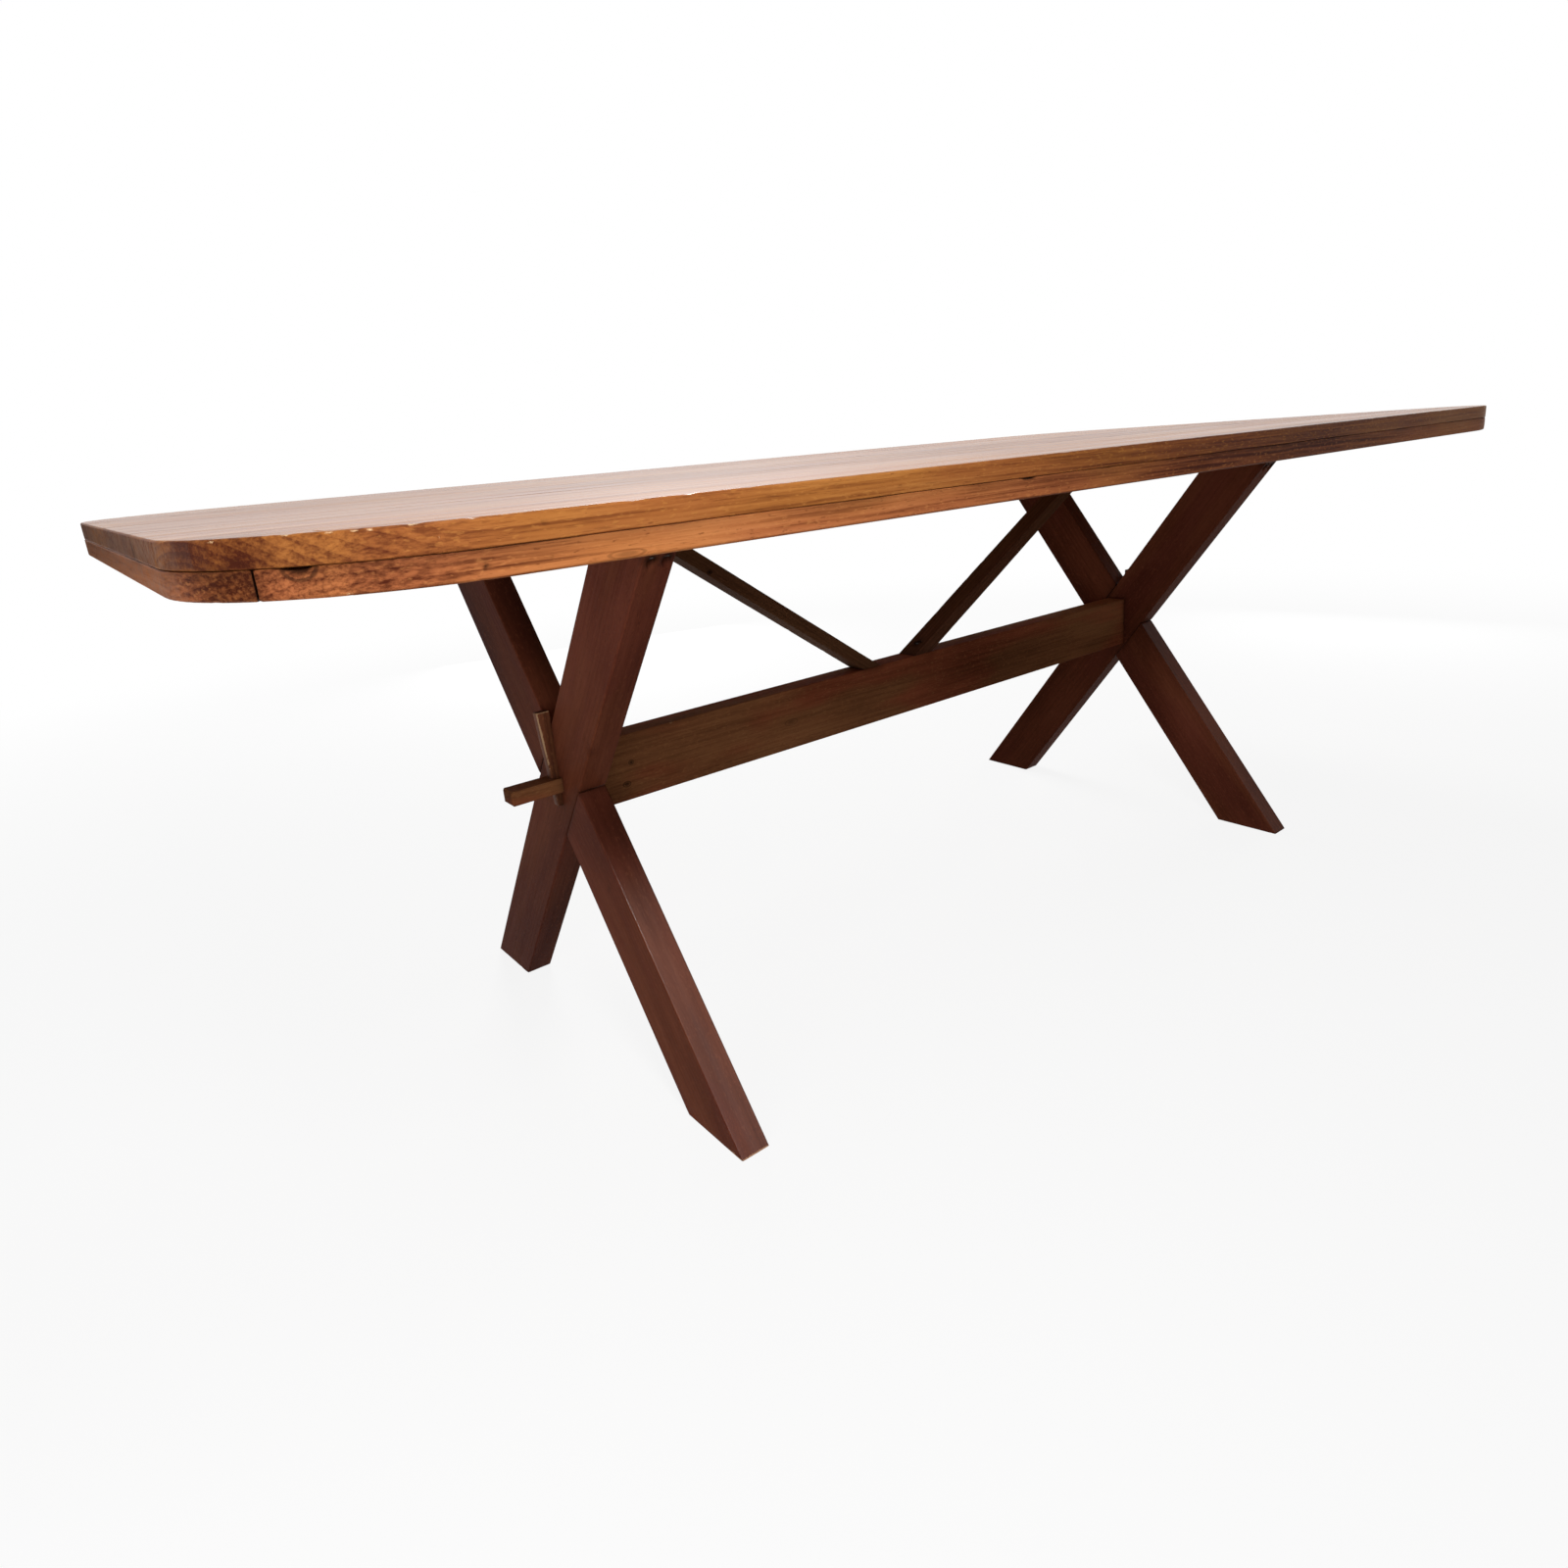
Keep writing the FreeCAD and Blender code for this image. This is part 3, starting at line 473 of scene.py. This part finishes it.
def sliced_copy(board):
    """The board's solid as a mesh with rows along its edges and slices along its length."""
    bm = bmesh.new()
    bm.from_mesh(nodes[board.node].data)
    bmesh.ops.remove_doubles(bm, verts=bm.verts, dist=TOUCH)
    bmesh.ops.dissolve_limit(bm, angle_limit=FLAT_ANGLE, verts=bm.verts, edges=bm.edges)
    points = [vertex.co.copy() for vertex in bm.verts]
    for direction in (board.across, board.depth):
        slice_across(bm, direction, edge_rows(*extent(points, direction), board.rows))
    low, high = extent(points, board.along)
    places = edge_rows(low, high, board.step)
    for start, end, step in board.fine:
        places = [place for place in places if not start <= place <= end] + spread(start, end, step)
    slice_across(bm, board.along, places)
    for point, normal in board.joints:
        level = point.dot(normal)
        slice_across(bm, normal, [level + gap * side for gap in JOINT_SLICES for side in (-1, 1)])
    bm.normal_update()
    return bm


# Wear, dirt, painted shade and marks

# How far the dirt and painted shade of a joint spread from the other board
JOINT_REACH = 16 * MM
JOINT_CORE = 1.1 * MM
JOINT_SPLIT = 2.2 * MM
JOINT_SLICES = (0.8 * MM, 2.2 * MM, 4.5 * MM)
SPLIT_DEPTH = 0.8 * MM
FREE_FROM, FREE_OVER = 2 * MM, 8 * MM
SCREW_REACH = 9 * MM
HOLLOW_SCALE, CLOUD_SCALE = 5, 3.1
END_STAIN, END_MOTTLE, END_MOTTLE_SCALES = 0.6, 0.4, (24, 65)
BARE_END, BARE_END_FROM, BARE_END_SCALE = 0.5, 0.3, 37
SHINE_OVER = 0.15
WEATHERED_POWER = 40
PAINTED = ("wear", "grime", "stain", "polish", "weathered", "end_grain")

# Edge wear: the share and the scale of each wave, and where each board starts in them
SEED_STEPS = (3.7, 1.9, 5.3)
PATCH_WAVES = ((0.9, 9), (0.5, 31))
KNOCK_WAVES = ((1.0, 75), (0.45, 190))
KNOCK_FROM, KNOCK_GAIN = 0.34, 1.7

SCREW_NODES = ("leg_screws", "bearer_screws", "strip_screws", "brace_screws")
trees = {}


def solid_tree(node):
    """A search tree of one solid, made once."""
    if node not in trees:
        mesh = nodes[node].data
        corners = [vertex.co for vertex in mesh.vertices]
        trees[node] = bvhtree.BVHTree.FromPolygons(corners, [face.vertices for face in mesh.polygons])
    return trees[node]


def boxes_near(first, second, gap):
    (low, high), (other_low, other_high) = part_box(first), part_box(second)
    return all(low[axis] - gap < other_high[axis] and other_low[axis] - gap < high[axis] for axis in range(3))


def neighbours(node, boards):
    names = [board.node for board in boards if board.node != node]
    return [solid_tree(name) for name in names if boxes_near(node, name, JOINT_REACH)]


def joint_gap(point, others):
    """The distance to the nearest other board, up to the reach of the dirt and painted shade of a joint."""
    gap = JOINT_REACH
    for tree in others:
        found = tree.find_nearest(point, gap)
        if found[3] is not None:
            gap = found[3]
    return gap


def convex_edges(bm):
    """A search tree of the vertices along the outward edges."""
    edges = [edge for edge in bm.edges if edge.is_manifold and edge.calc_face_angle_signed(0) > SHARP_ANGLE]
    corners = {corner for edge in edges for corner in edge.verts}
    tree = kdtree.KDTree(len(corners))
    for corner in corners:
        tree.insert(corner.co, corner.index)
    tree.balance()
    return tree


def limit(value):
    return min(max(value, 0.0), 1.0)


def knocked(point, seed):
    """How worn an edge is at a place: soft patches with a few hard knocks in them, each 0 to 1."""
    moved = point + Vector([seed * step for step in SEED_STEPS])
    patch = 0.5 + sum(share * noise.noise(moved * scale) for share, scale in PATCH_WAVES)
    knock = sum(share * noise.noise(moved * scale) for share, scale in KNOCK_WAVES)
    return limit(patch), limit((knock - KNOCK_FROM) * KNOCK_GAIN)


class Spot:
    """One vertex of a board, with what its wear depends on."""

    def __init__(self, vertex, board, edges, others):
        self.point, self.normal = vertex.co.copy(), vertex.normal.copy()
        self.near = max(0, 1 - edges.find(self.point)[2] / board.wear_width)
        self.gap = joint_gap(self.point, others)
        self.free = limit((self.gap - FREE_FROM) / FREE_OVER)
        self.patch, self.knock = knocked(self.point, board.seed)
        self.end_grain = abs(self.normal.dot(board.along))
        self.shift = Vector((board.seed, 0, 0))

    def noise(self, scale):
        return noise.noise(self.point * scale + self.shift)


def spot_wear(spot, board):
    """Bare wood along the free edges and in patches on the end grain."""
    edge = spot.near ** 2 * spot.free * board.wear * (0.3 + 0.6 * spot.patch + spot.knock)
    return edge + BARE_END * spot.end_grain ** 3 * limit(2 * spot.noise(BARE_END_SCALE) - BARE_END_FROM)


def spot_dirt_and_shade(spot, board, screws):
    """Dirt in the joints, with painted shade spreading out from them, and painted shade about the screws in
    their counterbores.
    """
    dirt_and_shade = limit(1 - spot.gap / JOINT_CORE) * (0.15 + 0.6 * spot.patch)
    dirt_and_shade = max(dirt_and_shade, board.dirt_and_shade * (1 - spot.gap / JOINT_REACH) ** 2 * (0.4 + 0.6 * spot.patch))
    distance = screws.find_nearest(spot.point, SCREW_REACH)[3] if screws else None
    return dirt_and_shade if distance is None else max(dirt_and_shade, 1 - distance / SCREW_REACH)


def spot_stain(spot, board, local):
    """Soft clouds over a board, and darker, mottled end grain."""
    cloud = board.cloud * noise.noise(local * CLOUD_SCALE + spot.shift)
    mottle = END_MOTTLE * sum(spot.noise(scale) for scale in END_MOTTLE_SCALES)
    return board.tone + cloud + END_STAIN * spot.end_grain ** 3 + spot.end_grain * mottle


def spot_depth(spot, board):
    """How far a spot is rubbed, chipped or hollowed below its solid."""
    edge = spot.near * (board.rub * spot.patch + board.chip * spot.knock * spot.free)
    return edge + board.hollow * (0.5 + 0.5 * spot.noise(HOLLOW_SCALE))


def joint_split(spot, joint, normal):
    """1 on the line of a joint that shows, to 0 beside it."""
    beside = abs((spot.point - joint).dot(normal))
    return limit(1 - beside / JOINT_SPLIT) * limit(1 - spot.gap / (2 * JOINT_SPLIT))


def wear_board(bm, board, others):
    """Rub and chip the edges inwards, and paint wear, dirt, stains, painted shade, painted light and grain
    coordinates on the vertices.
    """
    grain = bm.verts.layers.float_vector.new("grain")
    layers = [bm.verts.layers.float.new(name) for name in PAINTED]
    edges = convex_edges(bm)
    screws = solid_tree(board.screws) if board.screws else None
    centre = box_middle([vertex.co for vertex in bm.verts])
    moves = []
    for vertex in bm.verts:
        spot = Spot(vertex, board, edges, others)
        away = spot.point - centre
        local = Vector((away.dot(board.along), away.dot(board.across), away.dot(board.depth)))
        wear, dirt_and_shade = spot_wear(spot, board), spot_dirt_and_shade(spot, board, screws)
        stain, depth = spot_stain(spot, board, local), spot_depth(spot, board)
        for joint, normal in board.joints:
            split = joint_split(spot, joint, normal)
            dirt_and_shade = max(dirt_and_shade, split)
            depth += SPLIT_DEPTH * split
        for mark in board.marks:
            weight = mark.weight(spot.point)
            stain += mark.stain * weight
            wear += (mark.wear + mark.edge * spot.near ** 2) * weight
            dirt_and_shade += mark.grime * weight
            depth += mark.dent * weight
        polish = limit((spot.normal.z - board.shine_from) / SHINE_OVER)
        bleach = abs(spot.normal.dot(board.weathered)) ** WEATHERED_POWER if board.weathered else 0.0
        paint = (limit(wear), limit(dirt_and_shade), stain, polish, bleach, spot.end_grain)
        for layer, amount in zip(layers, paint):
            vertex[layer] = amount
        vertex[grain] = local + board.pith
        moves.append(spot.point - spot.normal * depth)
    for vertex, place in zip(bm.verts, moves):
        vertex.co = place


def make_board(board, boards, material):
    """Dress one board: a worn copy of its solid that takes its place."""
    bm = sliced_copy(board)
    wear_board(bm, board, neighbours(board.node, boards))
    mesh = bpy.data.meshes.new(f"{board.node}_worn")
    bm.to_mesh(mesh)
    bm.free()
    mesh.shade_smooth()
    mesh.set_sharp_from_angle(angle=SMOOTH_ANGLE)
    mesh.materials.append(material)
    piece = bpy.data.objects.new(f"{board.node}_worn", mesh)
    bpy.context.scene.collection.objects.link(piece)
    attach(piece, board.body)
    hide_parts(board.node)


# Marks seen in the photograph, in metres

PLANK_MARKS = (
    Mark((-0.990, -0.452, 0.719), (0.022, 0.022, 0.012), stain=0.5),
    Mark((-1.003, -0.434, 0.734), (0.006, 0.008, 0.003), wear=0.6, dent=0.4 * MM),
    Mark((-0.970, -0.475, 0.7358), (0.007, 0.006, 0.0022), wear=0.6, dent=0.6 * MM),
    Mark((-0.949, -0.492, 0.7355), (0.006, 0.005, 0.0022), wear=0.62, dent=0.9 * MM),
    Mark((-0.936, -0.499, 0.7352), (0.005, 0.004, 0.0024), wear=0.64, dent=1.2 * MM),
    Mark((-0.928, -0.503, 0.7348), (0.004, 0.004, 0.0026), wear=0.62, dent=1.0 * MM),
    Mark((-0.905, -0.511, 0.7355), (0.009, 0.006, 0.002), wear=0.55, dent=0.6 * MM),
    Mark((-0.892, -0.517, 0.7260), (0.003, 0.005, 0.004), wear=0.6, dent=0.5 * MM),
    Mark((-0.889, -0.520, 0.7330), (0.004, 0.005, 0.004), wear=0.6, dent=0.8 * MM),
    Mark((-0.824, -0.520, 0.728), (0.003, 0.006, 0.002), grime=0.9, dent=0.8 * MM),
    Mark((-1.025, -0.21, 0.722), (0.012, 0.016, 0.018), grime=0.9),
    Mark((-1.00, -0.435, 0.726), (0.07, 0.095, 0.05), stain=0.55),
    Mark((-0.93, -0.50, 0.724), (0.10, 0.06, 0.03), stain=0.35),
    # Painted shade: darker along the middle and right of the near edge, where less light falls
    Mark((0.20, -0.52, 0.726), (0.65, 0.06, 0.06), stain=0.75),
)
NEAR_STRIP_MARKS = (
    # Painted shade: a shallow dent painted black, for the shade inside the void between the layers
    Mark((-0.967, -0.477, 0.7160), (0.013, 0.013, 0.0045), grime=1.2, dent=2.4 * MM),
    Mark((-0.92, -0.50, 0.706), (0.10, 0.06, 0.04), stain=0.4),
    Mark((-0.70, -0.52, 0.706), (0.12, 0.06, 0.04), stain=-0.4),
    # Painted shade: the lower layer's near face darker along its middle and right, where less light falls
    Mark((0.20, -0.52, 0.706), (0.65, 0.06, 0.06), stain=0.75),
    Mark((-0.867, -0.520, 0.705), (0.003, 0.006, 0.003), grime=0.9, dent=0.8 * MM),
    Mark((-0.369, -0.520, 0.703), (0.005, 0.008, 0.003), grime=0.8, dent=0.8 * MM),
    Mark((-0.330, -0.520, 0.7155), (0.014, 0.01, 0.003), grime=1.0, dent=1.2 * MM),
)
END_STRIP_MARKS = (
    Mark((-1.00, -0.43, 0.706), (0.06, 0.1, 0.04), stain=0.8),
)
OUTER_LEG_MARKS = (
    Mark((-0.627, -0.120, 0.50), (0.05, 0.10, 0.20), stain=-0.4),
    Mark((-0.627, -0.105, 0.433), (0.02, 0.011, 0.017), stain=0.6, dent=0.6 * MM),
    Mark((-0.627, -0.209, 0.563), (0.01, 0.004, 0.004), grime=0.8),
    Mark((-0.627, -0.21, 0.60), (0.03, 0.04, 0.2), stain=-0.2),
    # Painted shade: the far lower half of this leg darkened, for the shade that falls on it
    Mark((-0.608, 0.17, 0.17), (0.06, 0.24, 0.24), stain=0.4),
)
INNER_LEG_MARKS = (
    # Painted shade: darker near the crossing, for the top's shadow on this leg
    Mark((-0.608, -0.085, 0.325), (0.06, 0.07, 0.08), stain=0.4, grime=0.15),
    Mark((-0.627, -0.106, 0.259), (0.006, 0.006, 0.005), grime=0.8, dent=0.8 * MM),
    Mark((-0.627, -0.180, 0.190), (0.012, 0.13, 0.16), edge=1.5),
    # Painted light: paler lower down this leg, where light falls below the top's shadow
    Mark((-0.60, -0.19, 0.20), (0.05, 0.06, 0.08), stain=-0.2),
    Mark((-0.608, -0.34, 0.01), (0.05, 0.05, 0.03), edge=1.2),
    # Painted shade: the far upper half of this leg darkened, and its near edge face darker still, for the
    # shade that falls there
    Mark((-0.608, 0.15, 0.56), (0.06, 0.22, 0.24), stain=0.6),
    Mark((-0.590, 0.09, 0.56), (0.04, 0.12, 0.24), stain=0.5, grime=0.5),
)
RIGHT_LEG_MARKS = (
    # Painted shade: the whole right trestle darkened, for the shade it stands in
    Mark((0.608, 0.10, 0.37), (0.2, 0.6, 0.6), stain=0.35),
    # Painted light: the lower near leg of the right trestle paler, where light falls on it
    Mark((0.600, -0.18, 0.22), (0.06, 0.15, 0.25), stain=-0.7),
)
STRETCHER_MARKS = (
    Mark((-0.465, -0.019, 0.415), (0.006, 0.006, 0.004), wear=0.9, dent=0.4 * MM),
    Mark((-0.558, -0.019, 0.385), (0.035, 0.02, 0.04), stain=-0.3),
    Mark((-0.15, -0.019, 0.37), (0.3, 0.03, 0.06), stain=0.3),
    Mark((0.25, -0.019, 0.37), (0.35, 0.03, 0.08), stain=0.3),
)
WEDGE_MARKS = (
    Mark((-0.642, -0.004, 0.43), (0.008, 0.005, 0.05), wear=0.35),
)


def mitre_joints(side_x, side_y):
    """The mitre between an end strip and a side strip, from their inner corner to the rounded outline."""
    end_low, end_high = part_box("end_strip_left")
    side_low, side_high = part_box("side_strip_near")
    inner = Vector((end_high.x * -side_x, side_high.y * -side_y, 0))
    outer = Vector((side_low.x * -side_x, end_low.y * -side_y, 0))
    return inner, (outer - inner).normalized().cross(ALONG_Z)


def lap_joints(partner):
    """The two sides of the leg that crosses another, where their half-lap shows as a line."""
    along = leaning(partner)
    normal = ALONG_X.cross(along)
    points = [vertex.co for vertex in nodes[partner].data.vertices]
    middle = box_middle(points)
    half = extent(points, normal)[1] - middle.dot(normal)
    return [(middle + normal * half * side, normal) for side in (-1, 1)]


# Finer slices at the near left corner: from, to and step along the length
CORNER_ZONES = ((-1.024, -0.97, 2.5 * MM), (-0.97, -0.88, 1.5 * MM), (-0.88, -0.80, 2.5 * MM))

NEAR_STEP, FAR_STEP = 6 * MM, 10 * MM
PLANK_PITHS = ((0.03, 0.11), (-0.05, 0.09), (0.06, 0.13), (-0.02, 0.10))
PLANK_TONES = (0.0, 0.14, -0.1, 0.08)
LEFT_SHINE_FROM, RIGHT_SHINE_FROM = 0.45, 0.58


def list_boards():
    """Every board of the table, in one fixed order, because some seeds count the boards so far."""
    boards = []
    for number, (pith, tone) in enumerate(zip(PLANK_PITHS, PLANK_TONES), start=1):
        near = number == 1
        boards.append(Board(f"top_plank_{number}", "top_wood", ALONG_X, ALONG_Z, rows=24 * MM, chip=1.0 * MM,
                            step=NEAR_STEP if near else FAR_STEP, hollow=0.3 * MM, pith=pith, seed=number,
                            weathered=ALONG_X, dirt_and_shade=0.2, cloud=0.2, tone=tone,
                            fine=CORNER_ZONES if near else (), marks=PLANK_MARKS if near else ()))
    for name, sign in (("left", -1), ("right", 1)):
        joints = [mitre_joints(sign, -1), mitre_joints(sign, 1)]
        left = name == "left"
        boards.append(Board(f"end_strip_{name}", "strip_wood", ALONG_Y, ALONG_Z, joints=joints,
                            pith=(0.04, 0.1), seed=11 + sign, weathered=ALONG_X, screws="strip_screws",
                            cloud=0.15, marks=END_STRIP_MARKS if left else ()))
        boards.append(Board(f"bearer_{name}", "bearer_wood", ALONG_Y, ALONG_Z, step=20 * MM, rows=30 * MM,
                            pith=(0.03, 0.05), seed=17 + sign, screws="bearer_screws"))
        boards.append(Board(f"wedge_{name}", "wedge_wood", ALONG_Z, ALONG_Y, body=f"wedge_{name}",
                            step=3 * MM, rows=4 * MM, chip=0.6 * MM, wear=0.85, wear_width=3.5 * MM,
                            seed=23 + sign, marks=WEDGE_MARKS if left else ()))
        for layer, marks in (("outer", OUTER_LEG_MARKS), ("inner", INNER_LEG_MARKS)):
            node = f"leg_{name}_{layer}"
            partner = f"leg_{name}_inner" if layer == "outer" else f"leg_{name}_outer"
            boards.append(Board(node, "leg_wood", leaning(node), ALONG_X, step=NEAR_STEP, rows=12 * MM,
                                shine_from=LEFT_SHINE_FROM if left else RIGHT_SHINE_FROM, seed=len(boards),
                                screws="leg_screws", joints=lap_joints(partner),
                                marks=marks if left else RIGHT_LEG_MARKS))
        node = f"brace_{name}"
        boards.append(Board(node, "brace_wood", leaning(node), ALONG_Y, rows=8 * MM, seed=len(boards),
                            screws="brace_screws"))
    for name, sign in (("near", -1), ("far", 1)):
        joints = [mitre_joints(-1, sign), mitre_joints(1, sign)]
        near = name == "near"
        boards.append(Board(f"side_strip_{name}", "strip_wood", ALONG_X, ALONG_Z, joints=joints,
                            pith=(0.05, 0.12), step=NEAR_STEP if near else FAR_STEP, seed=31 + sign,
                            screws="strip_screws", cloud=0.15, fine=CORNER_ZONES if near else (),
                            marks=NEAR_STRIP_MARKS if near else ()))
    boards.append(Board("stretcher", "stretcher_wood", ALONG_X, ALONG_Y, step=NEAR_STEP, rows=12 * MM,
                        seed=41, marks=STRETCHER_MARKS))
    return boards


# Floor, background and light

FLOOR_RADIUS, FLOOR_SIDES = 40.0, 96
WHITE = (1, 1, 1, 1)
FLOOR_COLOUR, DIM_FLOOR_COLOUR = (0.92, 0.92, 0.92, 1), (0.16, 0.15, 0.14, 1)

# The floor shows its shadows near the table, and is plain white from a distance
SHADOWS_TO, WHITE_FROM, WHITE_SHARE = 1.2, 4.0, 0.88
SKY_COLOUR, SKY_LEVEL = (0.97, 0.98, 1, 1), 0.04

# Each lamp: its place, what it points at, its size, its level, and whether it shows in reflections
LAMPS = {
    "key_lamp": ((-0.95, -1.30, 1.57), (-0.80, -0.52, 0.70), 0.35, 0.95, True),
    "side_lamp": ((-1.6, -0.8, 0.45), (-0.62, -0.1, 0.4), 0.8, 0.36, True),
    "low_lamp": ((-1.1, -1.8, 0.55), (-0.5, 0, 0.4), 0.9, 0.12, True),
    "back_lamp": ((0.9, 1.9, 2.7), (0.1, 0.5, 0.5), 1.0, 0.55, True),
    "fill_lamp": ((0.7, 2.6, 0.6), (0, 0.2, 0.4), 1.2, 0.35, False),
    "right_lamp": ((2.6, 0.3, 0.7), (0.63, 0, 0.45), 1.0, 0.3, False),
}


def background_rays(shader):
    """1 for the rays that see the background: from the camera, in reflections and through clear things."""
    path = shader.add("LightPath").outputs
    seen = shader.math("MAXIMUM", path["Is Camera Ray"], path["Is Glossy Ray"])
    return shader.math("MAXIMUM", seen, path["Is Transmission Ray"])


def make_floor():
    material, shader = new_shader("floor")
    seen = background_rays(shader)
    place = shader.add("TexCoord").outputs["Object"]
    distance = shader.add("VectorMath", {0: place}, operation="LENGTH").outputs["Value"]
    far = shader.range(distance, SHADOWS_TO, WHITE_FROM, WHITE_SHARE, 1.0)
    lit = shader.add("BsdfDiffuse", {"Color": FLOOR_COLOUR}).outputs[0]
    white = shader.add("Emission", {"Color": WHITE, "Strength": 1.0}).outputs[0]
    shown = shader.add("MixShader", {0: far, 1: lit, 2: white}).outputs[0]
    dim = shader.add("BsdfDiffuse", {"Color": DIM_FLOOR_COLOUR}).outputs[0]
    both = shader.add("MixShader", {0: seen, 1: dim, 2: shown}).outputs[0]
    shader.add("OutputMaterial", {"Surface": both})

    bm = bmesh.new()
    bmesh.ops.create_circle(bm, cap_ends=True, segments=FLOOR_SIDES, radius=FLOOR_RADIUS)
    mesh = bpy.data.meshes.new("floor")
    bm.to_mesh(mesh)
    bm.free()
    mesh.materials.append(material)
    floor = bpy.data.objects.new("floor", mesh)
    bpy.context.scene.collection.objects.link(floor)


def make_world():
    world = bpy.data.worlds.new("world")
    world.use_nodes = True
    bpy.context.scene.world = world
    shader = Shader(world.node_tree)
    dim = shader.add("Background", {"Color": SKY_COLOUR, "Strength": SKY_LEVEL}).outputs[0]
    white = shader.add("Background", {"Color": WHITE, "Strength": 1.0}).outputs[0]
    both = shader.add("MixShader", {0: background_rays(shader), 1: dim, 2: white}).outputs[0]
    shader.add("OutputWorld", {"Surface": both})


def make_lamp(name, place, target, size, level, reflected):
    """A square soft lamp. At level 1 a matt surface at the target that faces it renders in its own colour."""
    data = bpy.data.lights.new(name, "AREA")
    data.size = size
    data.energy = level * math.pi ** 2 * (Vector(place) - Vector(target)).length_squared
    lamp = bpy.data.objects.new(name, data)
    lamp.location = place
    lamp.rotation_euler = (Vector(target) - Vector(place)).to_track_quat("-Z", "Y").to_euler()
    lamp.visible_camera, lamp.visible_glossy = False, reflected
    bpy.context.scene.collection.objects.link(lamp)


make_camera()
make_floor()
make_world()
for name, settings in LAMPS.items():
    make_lamp(name, *settings)
bpy.context.scene.view_settings.view_transform = "Standard"

all_boards = list_boards()
materials = {slot: wood_material(slot, finish) for slot, finish in FINISHES.items()}
for board in all_boards:
    make_board(board, all_boards, materials[board.slot])
steel, dowel = steel_material(), dowel_material()
for node in (*SCREW_NODES, "plank_dowels"):
    for place in nodes[node].material_slots:
        place.material = dowel if node == "plank_dowels" else steel
